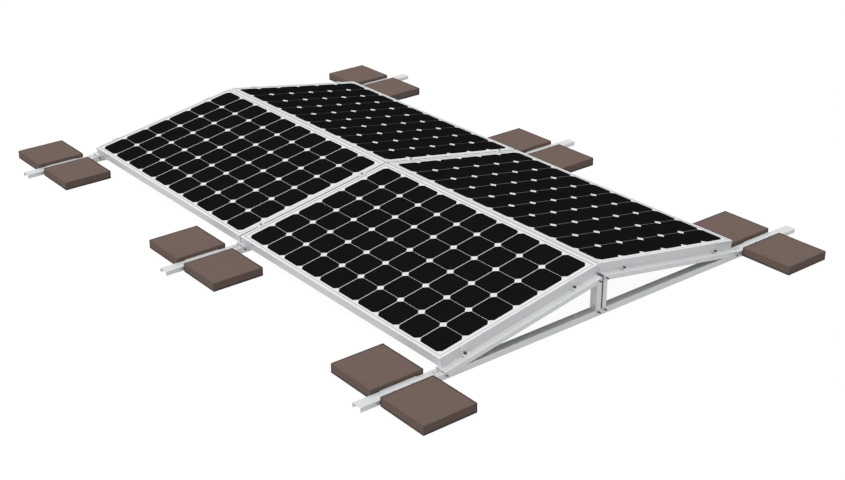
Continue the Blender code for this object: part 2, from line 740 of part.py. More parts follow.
def add_saddle(item):
    """Open the middle of a tray and set in the saddle over the ballast rail."""
    opening = bmesh.new()
    half = (SADDLE_WIDTH - TRAY_WALL) / 2
    low = (BALLAST_RAIL_SHIFT - half, -TRAY_WIDTH, -OVERRUN)
    add_block(opening, low, (BALLAST_RAIL_SHIFT + half, TRAY_WIDTH, TRAY_HEIGHT + OVERRUN))
    add_tool(item, opening, "DIFFERENCE")
    height = SADDLE_TOP - TRAY_HEIGHT + TRAY_WALL / 2
    outline = channel_outline(SADDLE_WIDTH, height, TRAY_WALL, TRAY_BEND)
    saddle = extrude_outline(shift_outline(outline, BALLAST_RAIL_SHIFT), -TRAY_WIDTH / 2, TRAY_WIDTH / 2)
    place = Matrix.Translation((0, 0, SADDLE_TOP)) @ Matrix.Rotation(-math.pi / 2, 4, "Z")
    bmesh.ops.transform(saddle, matrix=place, verts=saddle.verts)
    add_tool(item, saddle, "UNION")


def add_tray_screws(item):
    """Fix the two screws that hold a saddle to the ballast rail inside it."""
    bm = bmesh.new()
    stations = [
        (BALLAST_RAIL_TOP - RAIL_WALL - SCREW_TAIL, SCREW_RADIUS),
        (SADDLE_TOP - TRAY_WALL / 2, SCREW_RADIUS),
        (SADDLE_TOP - TRAY_WALL / 2, TRAY_HEAD_RADIUS),
        (SADDLE_TOP + TRAY_HEAD_HEIGHT, TRAY_HEAD_RADIUS / 2),
    ]
    for end in (-1, 1):
        add_turned(bm, (TRAY_SCREW_Y, end * TRAY_SCREW_SPACING / 2, 0), "Z", stations, HEX_SIDES)
    add_tool(item, bm, "UNION")


def slab_mesh():
    """Return a concrete slab, its underside at z = 0."""
    bm = bmesh.new()
    half = SLAB_SIDE / 2
    add_block(bm, (-half, -half, 0), (half, half, SLAB_HEIGHT))
    return finish_mesh(bm, "slab")


def build_ballast(steel, concrete):
    """Place each tray and the pair of slabs that rests on it."""
    tray = tray_mesh()
    slab = slab_mesh()
    slab_y = (SLAB_PAIR_GAP + SLAB_SIDE) / 2
    for row_name, row in ROWS.items():
        for side_name, side in SIDES.items():
            y = row * FRAME_PITCH
            place = (side * TRAY_CENTRE_X, y, 0)
            item = add_object(f"ballast_tray_{row_name}_{side_name}", tray, steel, place, (0, 0, math.pi / 2))
            add_saddle(item)
            add_tray_screws(item)
            x = side * (slab_start(side) + SLAB_SIDE / 2)
            for end_name, end in (("front", -1), ("back", 1)):
                place = (x, y + end * slab_y, TRAY_HEIGHT + FIT)
                item = add_object(f"slab_{row_name}_{side_name}_{end_name}", slab, concrete, place)
                arris = item.modifiers.new("arris", "BEVEL")
                arris.width = SLAB_ARRIS
                arris.segments = BEND_STEPS


def main():
    """Build the mount."""
    clear_scene()
    steel = make_material("galvanised_steel", (0.56, 0.57, 0.58), 0.42, 1.0)
    aluminium = make_material("anodised_aluminium", (0.60, 0.61, 0.63), 0.38, 1.0)
    glass = make_material("module_glass", (0.010, 0.011, 0.014), 0.12, 0.0)
    concrete = make_material("brown_concrete", (0.168, 0.119, 0.100), 0.90, 0.0)
    build_modules(aluminium, glass)
    build_base_rails(steel)
    build_ballast_rails(steel)
    build_slope_rails(steel)
    build_posts(steel)
    build_clamps(aluminium)
    build_ballast(steel, concrete)


main()
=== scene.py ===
"""Looks of a ballasted east-west roof mount with four solar modules.

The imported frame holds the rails, posts, trays, module frames and laminates at their real
size. This script finishes each of them and adds what is finer: the cells under the glass
and the sealing bead round it, the junction boxes, the nuts and screw heads, the clamps'
profiles and bolts, and the cast concrete slabs. Lengths are in metres, x runs across the
ridge, y along it and z up.
"""

import logging
import math
from dataclasses import dataclass, field
from enum import Enum

import bpy
import numpy as np
from mathutils import Matrix, Vector


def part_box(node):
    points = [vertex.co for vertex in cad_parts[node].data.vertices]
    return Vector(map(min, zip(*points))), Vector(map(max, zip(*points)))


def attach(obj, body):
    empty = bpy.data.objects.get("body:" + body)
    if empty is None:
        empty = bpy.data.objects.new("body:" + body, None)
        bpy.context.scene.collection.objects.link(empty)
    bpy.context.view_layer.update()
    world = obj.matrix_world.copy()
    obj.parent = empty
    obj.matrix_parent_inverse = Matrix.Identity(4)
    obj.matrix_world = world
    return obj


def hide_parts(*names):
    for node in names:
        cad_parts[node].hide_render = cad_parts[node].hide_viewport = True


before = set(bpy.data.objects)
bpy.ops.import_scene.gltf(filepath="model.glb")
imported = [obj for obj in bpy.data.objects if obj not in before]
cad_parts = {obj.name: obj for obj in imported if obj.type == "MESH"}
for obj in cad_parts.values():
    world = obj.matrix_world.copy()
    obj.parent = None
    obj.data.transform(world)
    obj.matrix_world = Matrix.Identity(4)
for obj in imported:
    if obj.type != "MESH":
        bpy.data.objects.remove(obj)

LOG = logging.getLogger("roof_mount")
BODY = "root"
UP = np.array((0.0, 0.0, 1.0))
ALONG_RIDGE = np.array((0.0, 1.0, 0.0))
FULL_TURN = 2 * math.pi
QUARTER_TURN = math.pi / 2
HEX_STEP = math.pi / 3
CORNERS = np.array(((1, 1), (-1, 1), (-1, -1), (1, -1)))

Array = np.ndarray
Colour = tuple[float, float, float]
Pair = tuple[float, float]
Pairs = tuple[Pair, ...]
Tree = bpy.types.NodeTree
Node = bpy.types.Node
Socket = bpy.types.NodeSocket
Inputs = dict[str | int, object]


class Labelled(Enum):
    """A choice whose name also stands in the nodes' names."""

    @property
    def label(self) -> str:
        """Return the choice's name as the nodes write it."""
        return self.name.lower()


class Side(Labelled):
    """The side of the ridge, with the sign of x there."""

    LEFT = -1
    RIGHT = 1


class Row(Labelled):
    """A frame's row, with the sign of y there."""

    NEAR = -1
    MIDDLE = 0
    FAR = 1


class Slot(Enum):
    """The record's material slots."""

    CLAMP = "clamp_aluminium"
    STEEL = "galvanised_steel"
    GLASS = "module_glass"
    CONCRETE = "concrete"


def node_points(name: str) -> Array:
    """Read the vertices of a frame node.

    Args:
        name: the node.

    Returns:
        An array of points, one row each, in metres.
    """
    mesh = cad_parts[name].data
    flat = np.empty(3 * len(mesh.vertices), np.float32)
    mesh.vertices.foreach_get("co", flat)
    return flat.reshape(-1, 3).astype(float)


def middle(points: Array) -> Array:
    """Return the middle of the box round some points."""
    return (points.min(0) + points.max(0)) / 2


def place_label(row: Row, side: Side) -> str:
    """Return row and side as the nodes write them."""
    return f"{row.label}_{side.label}"


def stacked(rings: list[Array], levels: list[float] | Array) -> Array:
    """Give each flat ring its level as a third coordinate.

    Args:
        rings: rings of flat points, each shaped (points, 2).
        levels: one level a ring.

    Returns:
        The rings, shaped (rings, points, 3).
    """
    flat = np.array(rings)
    level = np.broadcast_to(np.array(levels)[:, None, None], (*flat.shape[:2], 1))
    return np.concatenate((flat, level), -1)


def grid_faces(rows: int, columns: int) -> Array:
    """Number the quads of a tube whose points run row by row.

    Args:
        rows: points down the tube.
        columns: points round it, the last of which joins the first.

    Returns:
        Four point numbers a face, wound so that columns then rows turn outwards.
    """
    down, across = np.meshgrid(np.arange(rows - 1), np.arange(columns), indexing="ij")
    after = (across + 1) % columns
    first, second = down * columns + across, down * columns + after
    return np.stack((first, second, second + columns, first + columns), -1).reshape(-1, 4)


def store_marks(item: bpy.types.Object, attribute: str, marks: Array, domain: str) -> None:
    """Store one mark from 0 to 1 for each point or face of a piece.

    Args:
        item: the piece.
        attribute: the attribute's name.
        marks: the marks, in the order of the points or faces.
        domain: POINT or FACE.
    """
    layer = item.data.attributes.new(attribute, "FLOAT", domain)
    layer.data.foreach_set("value", marks.astype(np.float32))


@dataclass
class Shell:
    """Points, faces and marks of a piece while it is put together."""

    points: list[Array] = field(default_factory=list)
    faces: list[list[int]] = field(default_factory=list)
    marks: list[Array] = field(default_factory=list)
    count: int = 0

    def add_grid(
        self, grid: Array, looped: bool = False, chord: tuple[int, ...] = (), marks: float | Array = 0
    ) -> None:
        """Add a closed tube of rings.

        Args:
            grid: rings of points, shaped (rings, points in a ring, 3).
            looped: whether the last ring joins the first; otherwise both are
                filled.
            chord: two points of a ring between which each end face is split;
                the part from the first to the second of them comes first.
            marks: the points' marks, as one number or one for each point or ring.
        """
        rings, around, _ = grid.shape
        numbers = grid_faces(rings + looped, around) % (rings * around)
        faces = (numbers + self.count).tolist()
        parts = [np.arange(around)]
        if chord:
            start, end = chord
            parts = [np.arange(start, end + 1), np.arange(end, around + start + 1) % around]
        if not looped:
            for last, way in ((0, -1), (rings - 1, 1)):
                faces.extend((self.count + last * around + part)[::way].tolist() for part in parts)
        self.points.append(grid.reshape(-1, 3))
        self.faces.extend(faces)
        self.marks.append(np.broadcast_to(marks, (rings, around)).reshape(-1))
        self.count += rings * around

    def build(self, name: str, sharp_degrees: float = 38.0, attribute: str = "") -> bpy.types.Object:
        """Make the object, its faces pointing out and its round stretches smooth.

        Args:
            name: the piece's name.
            sharp_degrees: the angle from which an edge stays sharp.
            attribute: the attribute that keeps the points' marks, if any does.

        Returns:
            The object, at the origin.
        """
        mesh = bpy.data.meshes.new(name)
        mesh.from_pydata(np.concatenate(self.points).tolist(), [], self.faces)
        mesh.validate()
        mesh.shade_smooth()
        mesh.set_sharp_from_angle(angle=math.radians(sharp_degrees))
        item = bpy.data.objects.new(name, mesh)
        bpy.context.scene.collection.objects.link(item)
        if attribute:
            store_marks(item, attribute, np.concatenate(self.marks), "POINT")
        return item


@dataclass(frozen=True)
class Place:
    """A spot with three unit directions: across, along and out."""

    spot: Array
    across: Array
    along: Array
    out: Array

    @classmethod
    def facing(cls, spot: Array, out: Array, across: Array) -> "Place":
        """Make a place from a spot and two directions.

        Args:
            spot: the place's origin.
            out: the out axis, of any length.
            across: the rough across axis, squared up against the out axis.

        Returns:
            The place.
        """
        out = out / np.linalg.norm(out)
        along = np.cross(out, across)
        along /= np.linalg.norm(along)
        return cls(np.asarray(spot, float), np.cross(along, out), along, out)

    @property
    def axes(self) -> Array:
        """Return the three directions, one a row."""
        return np.stack((self.across, self.along, self.out))

    def points(self, local: Array) -> Array:
        """Carry local (across, along, out) points into the frame's space."""
        return self.spot + local @ self.axes

    def local(self, points: Array) -> Array:
        """Carry points of the frame's space into local ones."""
        return (points - self.spot) @ self.axes.T


def round_axis(radius: Array, height: Array) -> Array:
    """Set points round the out axis at even angles.

    Args:
        radius: each point's distance from the axis, shaped (rings, sides).
        height: each ring's height.

    Returns:
        Rings of local points, shaped (rings, sides, 3).
    """
    angle = np.arange(radius.shape[1]) * FULL_TURN / radius.shape[1]
    level = np.broadcast_to(height[:, None], radius.shape)
    return np.stack((radius * np.cos(angle), radius * np.sin(angle), level), -1)


def turned(profile: Array, sides: int, flats: float = 0, hexed: tuple[bool, ...] = ()) -> Array:
    """Turn a profile round the out axis, with some of it cut to a hexagon.

    The radius at an angle is the profile's own, or the hexagon's where that is
    less: half the width over the flats, over the cosine of the angle from the
    middle of the nearest flat. So a chamfered head gets its curved corners.

    Args:
        profile: (height, radius) pairs from the bottom up.
        sides: points round.
        flats: the width over the hexagon's flats.
        hexed: one flag a pair, true where the hexagon cuts.

    Returns:
        Rings of local points, shaped (pairs, sides, 3).
    """
    radius = profile[:, 1:2] * np.ones((1, sides))
    if hexed:
        angle = np.arange(sides) * FULL_TURN / sides
        from_flat = (angle + HEX_STEP / 2) % HEX_STEP - HEX_STEP / 2
        hexagon = flats / 2 / np.cos(from_flat)
        radius = np.where(np.array(hexed)[:, None], np.minimum(radius, hexagon), radius)
    return round_axis(radius, profile[:, 0])


def outline_path(corners: Array, radii: float | Array, steps: int) -> Array:
    """Round the corners of a closed outline.

    Each corner becomes an arc that leaves both of its sides at the tangent,
    drawn as the circle through the two tangent points about their shared centre.

    Args:
        corners: (n, 2) points, anticlockwise.
        radii: one radius for all corners, or one a corner.
        steps: chords in each arc.

    Returns:
        The rounded outline's points.
    """
    radii = np.broadcast_to(radii, len(corners))
    before = np.roll(corners, 1, 0) - corners
    after = np.roll(corners, -1, 0) - corners
    before /= np.linalg.norm(before, axis=1, keepdims=True)
    after /= np.linalg.norm(after, axis=1, keepdims=True)
    half = np.arccos(np.clip((before * after).sum(1), -1, 1)) / 2
    reach = (radii / np.tan(half))[:, None]
    bisector = before + after
    bisector /= np.linalg.norm(bisector, axis=1, keepdims=True)
    centre = corners + bisector * (radii / np.sin(half))[:, None]
    first = corners + before * reach - centre
    last = corners + after * reach - centre
    start = np.arctan2(first[:, 1], first[:, 0])
    sweep = (np.arctan2(last[:, 1], last[:, 0]) - start + math.pi) % FULL_TURN - math.pi
    angle = start[:, None] + sweep[:, None] * np.linspace(0, 1, steps + 1)[None, :]
    arc = np.stack((np.cos(angle), np.sin(angle)), -1) * radii[:, None, None]
    return (arc + centre[:, None, :]).reshape(-1, 2)


def opaque(colour: Colour) -> tuple[float, float, float, float]:
    """Return a colour with full alpha."""
    return (*colour, 1.0)


def wire(tree: Tree, node: Node, inputs: Inputs) -> None:
    """Fill a node's inputs.

    Args:
        tree: holds the node.
        node: the node.
        inputs: what each input gets: a socket is linked, and anything else
            becomes the input's own value.
    """
    for key, value in inputs.items():
        if isinstance(value, Socket):
            tree.links.new(value, node.inputs[key])
        else:
            node.inputs[key].default_value = value


def add_node(tree: Tree, kind: str, inputs: Inputs | None = None, **settings: object) -> Node:
    """Add a node, set its properties and fill its inputs.

    Args:
        tree: takes the node.
        kind: the node's type.
        inputs: what each input gets, as wire takes it.
        settings: the node's own properties, such as its operation.

    Returns:
        The node.
    """
    node = tree.nodes.new(kind)
    for key, value in settings.items():
        setattr(node, key, value)
    wire(tree, node, inputs or {})
    return node


def computed(tree: Tree, operation: str, first: Socket, second: Socket | float) -> Socket:
    """Return what a Math node makes of two values."""
    return add_node(tree, "ShaderNodeMath", {0: first, 1: second}, operation=operation).outputs[0]


def blended(tree: Tree, share: Socket, first: Socket | tuple, second: tuple) -> Socket:
    """Return the colour that runs from the first to the second with a share."""
    inputs = {"Factor": share, "A": first, "B": second}
    return add_node(tree, "ShaderNodeMix", inputs, data_type="RGBA").outputs["Result"]


class Shading:
    """Holds the node groups that several finishes share."""

    def __init__(self) -> None:
        """Build the shared groups once."""
        self.grain = self._grain_group()
        self.film = self._film_group()

    @staticmethod
    def _group(name: str, inputs: dict[str, float], outputs: tuple[str, ...]) -> Tree:
        """Start a node group whose sockets are all numbers.

        Args:
            name: the group's name.
            inputs: the inputs with their defaults.
            outputs: the outputs.

        Returns:
            The group, with its input and output nodes placed.
        """
        group = bpy.data.node_groups.new(name, "ShaderNodeTree")
        for label, value in inputs.items():
            entry = group.interface.new_socket(label, in_out="INPUT", socket_type="NodeSocketFloat")
            entry.default_value = value
        for label in outputs:
            group.interface.new_socket(label, in_out="OUTPUT", socket_type="NodeSocketFloat")
        group.nodes.new("NodeGroupInput").name = "in"
        group.nodes.new("NodeGroupOutput").name = "out"
        return group

    @staticmethod
    def _noise(tree: Tree, scale: Socket, detail: float) -> Socket:
        """Add noise on the piece's own coordinates.

        Args:
            tree: takes the nodes.
            scale: the noise's scale.
            detail: its octaves.

        Returns:
            The noise.
        """
        own = add_node(tree, "ShaderNodeTexCoord").outputs["Object"]
        inputs = {"Vector": own, "Scale": scale, "Detail": detail}
        return add_node(tree, "ShaderNodeTexNoise", inputs).outputs["Fac"]

    def _grain_group(self) -> Tree:
        """Build the coarse and fine noise, each of them round one half.

        Returns:
            The group.
        """
        details = {"Coarse": 3.0, "Fine": 2.0}
        scales = {"Coarse Scale": 6.0, "Fine Scale": 300.0}
        group = self._group("surface_grain", scales, tuple(details))
        given = group.nodes["in"].outputs
        for label, detail in details.items():
            noise = self._noise(group, given[f"{label} Scale"], detail)
            wire(group, group.nodes["out"], {label: noise})
        return group

    def _film_group(self) -> Tree:
        """Build the mask of dust and of painted light on faces that look up, broken by noise.

        The mask is the amount, times how far the normal's height is above the
        least that gets the dust and the painted light, times the noise.

        Returns:
            The group.
        """
        least_upward, detail = 0.2, 4.0
        group = self._group("dust_film", {"Amount": 0.2, "Scale": 9.0}, ("Mask",))
        given = group.nodes["in"].outputs
        normal = add_node(group, "ShaderNodeNewGeometry").outputs["Normal"]
        height = add_node(group, "ShaderNodeSeparateXYZ", {0: normal}).outputs["Z"]
        ramp = {"Value": height, "From Min": least_upward}
        upward = add_node(group, "ShaderNodeMapRange", ramp).outputs[0]
        noise = self._noise(group, given["Scale"], detail)
        broken = computed(group, "MULTIPLY", upward, noise)
        mask = computed(group, "MULTIPLY", broken, given["Amount"])
        wire(group, group.nodes["out"], {"Mask": mask})
        return group


@dataclass(frozen=True)
class Finish:
    """What every finish has: a name, two colours it runs between, and its gloss."""

    name: str
    dark: Colour
    light: Colour
    roughness: Pair
    fine_scale: float
    relief: float
    metallic: float = 0.0
    specular: float = 0.5
    coarse_scale: float = 6.0
    relief_depth: float = 0.0005
    # The upward mask: dust on the steel, painted light on the module frames' top faces.
    dust: float = 0.0
    dust_scale: float = 9.0
    dust_colour: Colour = (0.42, 0.39, 0.35)

    def make(self, shading: Shading) -> bpy.types.Material:
        """Make the material.

        Colour and roughness run between their two ends by the coarse grain, the
        bump comes from the fine grain, and an upward mask draws what looks up
        towards a dust colour on the steel and lightens it on the module frames,
        as painted light on their top faces.

        Args:
            shading: the shared groups.

        Returns:
            The material.
        """
        material = bpy.data.materials.new(self.name)
        material.use_nodes = True
        tree = material.node_tree
        scales = {"Coarse Scale": self.coarse_scale, "Fine Scale": self.fine_scale}
        grain = add_node(tree, "ShaderNodeGroup", scales, node_tree=shading.grain).outputs
        share = self.pattern(tree, grain["Coarse"])
        colour = self.tint(tree, blended(tree, share, opaque(self.dark), opaque(self.light)))
        # Upward mask: dust, and on the module frames painted light on the top faces.
        if self.dust:
            amounts = {"Amount": self.dust, "Scale": self.dust_scale}
            film = add_node(tree, "ShaderNodeGroup", amounts, node_tree=shading.film)
            colour = blended(tree, film.outputs["Mask"], colour, opaque(self.dust_colour))
        low, high = self.roughness
        ramp = {"Value": grain["Coarse"], "To Min": low, "To Max": high}
        rough = add_node(tree, "ShaderNodeMapRange", ramp)
        relief = {"Strength": self.relief, "Distance": self.relief_depth, "Height": grain["Fine"]}
        bump = add_node(tree, "ShaderNodeBump", relief)
        shader = tree.nodes["Principled BSDF"]
        wire(tree, shader, {"Metallic": self.metallic, "Specular IOR Level": self.specular})
        wire(tree, shader, {"Base Color": colour, "Roughness": rough.outputs[0]})
        wire(tree, shader, {"Normal": bump.outputs[0]})
        return material

    def pattern(self, tree: Tree, coarse: Socket) -> Socket:
        """Return the share between the two colours, from the coarse grain."""
        return coarse

    def tint(self, tree: Tree, colour: Socket) -> Socket:
        """Return the colour after this finish's own marks; plain finishes have none."""
        return colour


@dataclass(frozen=True)
class Galvanised(Finish):
    """Zinc-coated sheet, with faint crystal spangle a few millimetres wide."""

    spangle_scale: float = 160.0
    grain_share: float = 0.45

    def pattern(self, tree: Tree, coarse: Socket) -> Socket:
        """Mix the random grey of each crystal with the coarse grain.

        Args:
            tree: the material's tree.
            coarse: the coarse grain.

        Returns:
            The share between the two colours.
        """
        own = add_node(tree, "ShaderNodeTexCoord").outputs["Object"]
        inputs = {"Vector": own, "Scale": self.spangle_scale}
        crystal = add_node(tree, "ShaderNodeTexVoronoi", inputs).outputs["Color"]
        grey = add_node(tree, "ShaderNodeSeparateColor", {0: crystal}).outputs["Red"]
        both = {"Factor": self.grain_share, "A": grey, "B": coarse}
        return add_node(tree, "ShaderNodeMix", both).outputs["Result"]


@dataclass(frozen=True, kw_only=True)
class Marked(Finish):
    """A finish whose piece carries an attribute, 0 to 1, that gives it another colour."""

    attribute: str
    mark: Colour

    def tint(self, tree: Tree, colour: Socket) -> Socket:
        """Return the colour drawn towards the mark's own by the attribute."""
        reader = add_node(tree, "ShaderNodeAttribute", attribute_name=self.attribute)
        return blended(tree, reader.outputs["Fac"], colour, opaque(self.mark))


STEEL = Galvanised(
    "galvanised_steel", (0.65, 0.665, 0.67), (0.75, 0.765, 0.77), (0.36, 0.52),
    metallic=0.4, fine_scale=500.0, relief=0.05, dust=0.05,
)
# The frames' near-white upward mask is painted light on their top faces.
FRAME_METAL = Finish(
    "anodised_frame", (0.69, 0.70, 0.72), (0.76, 0.77, 0.79), (0.34, 0.46),
    metallic=0.10, coarse_scale=3.0, fine_scale=900.0, relief=0.04,
    dust=0.9, dust_colour=(0.86, 0.86, 0.86),
)
# The clamps' mark colour is painted shade on the feet's end faces.
CLAMP_METAL = Marked(
    "clamp_aluminium", (0.68, 0.69, 0.70), (0.78, 0.79, 0.80), (0.32, 0.45),
    metallic=0.2, coarse_scale=20.0, fine_scale=700.0, relief=0.06,
    attribute="sawn", mark=(0.04, 0.04, 0.042),
)
BACK_SHEET = Finish(
    "white_back_sheet", (0.72, 0.72, 0.72), (0.79, 0.79, 0.79), (0.30, 0.36),
    specular=0.3, coarse_scale=2.0, fine_scale=700.0, relief=0.01,
)
SEALANT = Finish(
    "grey_sealant", (0.36, 0.36, 0.37), (0.44, 0.44, 0.45), (0.55, 0.70),
    specular=0.3, coarse_scale=12.0, fine_scale=900.0, relief=0.08,
)
# The cells' mark colour is painted shade in the seams of the right-hand modules.
CELL_SILICON = Marked(
    "cell_silicon", (0.0062, 0.0062, 0.0066), (0.0086, 0.0086, 0.0090), (0.48, 0.56),
    specular=0.0, coarse_scale=5.0, fine_scale=1200.0, relief=0.01,
    attribute="film", mark=(0.30, 0.30, 0.30),
)
BOLT_METAL = Marked(
    "zinc_bolts", (0.26, 0.265, 0.27), (0.38, 0.385, 0.39), (0.30, 0.46),
    metallic=0.5, coarse_scale=120.0, fine_scale=1500.0, relief=0.05,
    attribute="thread", mark=(0.035, 0.035, 0.037),
)
DARK_BOLT = Marked(
    "dark_clamp_bolts", (0.035, 0.036, 0.038), (0.075, 0.076, 0.080), (0.34, 0.50),
    metallic=0.5, coarse_scale=120.0, fine_scale=1500.0, relief=0.05,
    attribute="thread", mark=(0.035, 0.035, 0.037),
)
BOX_PLASTIC = Finish(
    "black_box_plastic", (0.012, 0.012, 0.013), (0.022, 0.022, 0.024), (0.42, 0.55),
    specular=0.4, coarse_scale=15.0, fine_scale=900.0, relief=0.12,
)
# The concrete's mark colour is painted shade along the slabs' edges.
CONCRETE = Marked(
    "brown_concrete", (0.133, 0.093, 0.077), (0.168, 0.120, 0.101), (0.86, 0.96),
    specular=0.2, coarse_scale=34.0, fine_scale=420.0, relief=0.35,
    attribute="arris", mark=(0.024, 0.019, 0.017),
)


class Dresser:
    """Gives pieces and nodes their finishes, making each material once."""

    def __init__(self) -> None:
        """Start with the shared node groups and no materials."""
        self.shading = Shading()
        self.made: dict[str, bpy.types.Material] = {}
        self.count = 0

    def material(self, finish: Finish) -> bpy.types.Material:
        """Return the finish's material, made on first use."""
        if finish.name not in self.made:
            self.made[finish.name] = finish.make(self.shading)
        return self.made[finish.name]

    def dress_node(self, name: str, finish: Finish) -> None:
        """Put a finish on a node of the frame, in place of what it came with.

        Args:
            name: the node.
            finish: its finish.
        """
        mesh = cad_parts[name].data
        mesh.materials.clear()
        mesh.materials.append(self.material(finish))
        LOG.info("node %s: %s", name, finish.name)

    def add_piece(
        self, item: bpy.types.Object, finish: Finish, stands_for: tuple[str, ...] = ()
    ) -> None:
        """Finish a new piece and let it ride on the mount.

        Args:
            item: the piece.
            finish: its finish.
            stands_for: nodes that it takes the place of.
        """
        item.data.materials.append(self.material(finish))
        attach(item, BODY)
        if stands_for:
            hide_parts(*stands_for)
        self.count += 1
        LOG.info("piece %s: %d faces, %s", item.name, len(item.data.polygons), finish.name)


@dataclass
class JunctionBox:
    """The box on a laminate's back, moulded over its block, with two cable glands.

    The pairs of flange, seam and lid are an inset and a level: from the back
    sheet, from the seam's share of the depth and from the full depth.
    """

    label: str
    glass: Place
    margin: float = 0.0005
    corner: float = 0.010
    corner_steps: int = 6
    flange: Pairs = ((-0.0030, 0.0), (-0.0030, -0.0022), (0.0, -0.0030))
    seam: Pairs = ((0.0012, 0.0), (0.0030, 0.0), (0.0030, -0.0009), (0.0004, -0.0009))
    lid: Pairs = ((0.0020, -0.0006), (0.0060, -0.0018))
    seam_share: float = 0.62
    step_margin: float = 0.0018
    level_decimals: int = 4
    width_share: float = 0.98
    gland_radius: float = 0.0075
    gland_length: float = 0.014
    gland_root: float = 0.004
    gland_spacing: float = 0.052
    gland_depth_share: float = 0.35
    gland_flats_share: float = 1.8
    gland_shares: Pairs = ((0.35, 1.0), (0.4, 0.86), (0.9, 0.80), (1.0, 0.66))
    gland_sides: int = 24

    def build(self, dresser: Dresser) -> None:
        """Mould the box and its glands.

        A rounded rectangle is carried down a flange, a drafted wall, the lid's
        seam and a crowned lid. Size and place come from the points of the
        laminate's node behind its back sheet.

        Args:
            dresser: gives the finish.
        """
        local = self.glass.local(node_points(f"laminate_{self.label}"))
        back = np.unique(np.round(local[:, 2], self.level_decimals))
        sheet = back[back > back[0] + self.step_margin * 2][0]
        low = local[:, 2].min()
        block = local[local[:, 2] < low + self.step_margin]
        reach = np.abs(local[:, 0])
        inside = reach < reach.max() * self.width_share
        wide = local[(local[:, 2] < sheet + self.margin) & inside]
        centre = middle(block)
        half = (wide.max(0) - wide.min(0))[:2] / 2 + self.margin
        depth = sheet - low + self.margin
        parts = ((0.0, self.flange), (-depth * self.seam_share, self.seam), (-depth, self.lid))
        pairs = [(inset, base + level) for base, part in parts for inset, level in part]
        rings = [
            outline_path(CORNERS * (half - inset), self.corner - inset, self.corner_steps)
            for inset, _ in pairs
        ]
        levels = [sheet + level for _, level in pairs]
        grid = stacked(rings, levels) + np.array((centre[0], centre[1], 0.0))
        shell = Shell()
        shell.add_grid(self.glass.points(grid[:, ::-1]))
        for sign in (-1, 1):
            beside = centre[1] + sign * self.gland_spacing / 2
            behind = sheet - depth * self.gland_depth_share
            spot = self.glass.points(np.array((centre[0] + half[0], beside, behind)))
            gland = Place.facing(spot, self.glass.across, self.glass.along)
            shell.add_grid(gland.points(self.gland_rings()))
        item = shell.build(f"junction_box_{self.label}")
        dresser.add_piece(item, BOX_PLASTIC)

    def gland_rings(self) -> Array:
        """Turn a gland round the out axis, with a hexagonal foot.

        Returns:
            Rings of local points, from the foot to the mouth.
        """
        outer = np.array(self.gland_shares) * (self.gland_length, self.gland_radius)
        profile = np.vstack(((-self.gland_root, self.gland_radius), outer))
        hexed = (True, True, False, False, False)
        flats = self.gland_flats_share * self.gland_radius
        return turned(profile, self.gland_sides, flats, hexed)


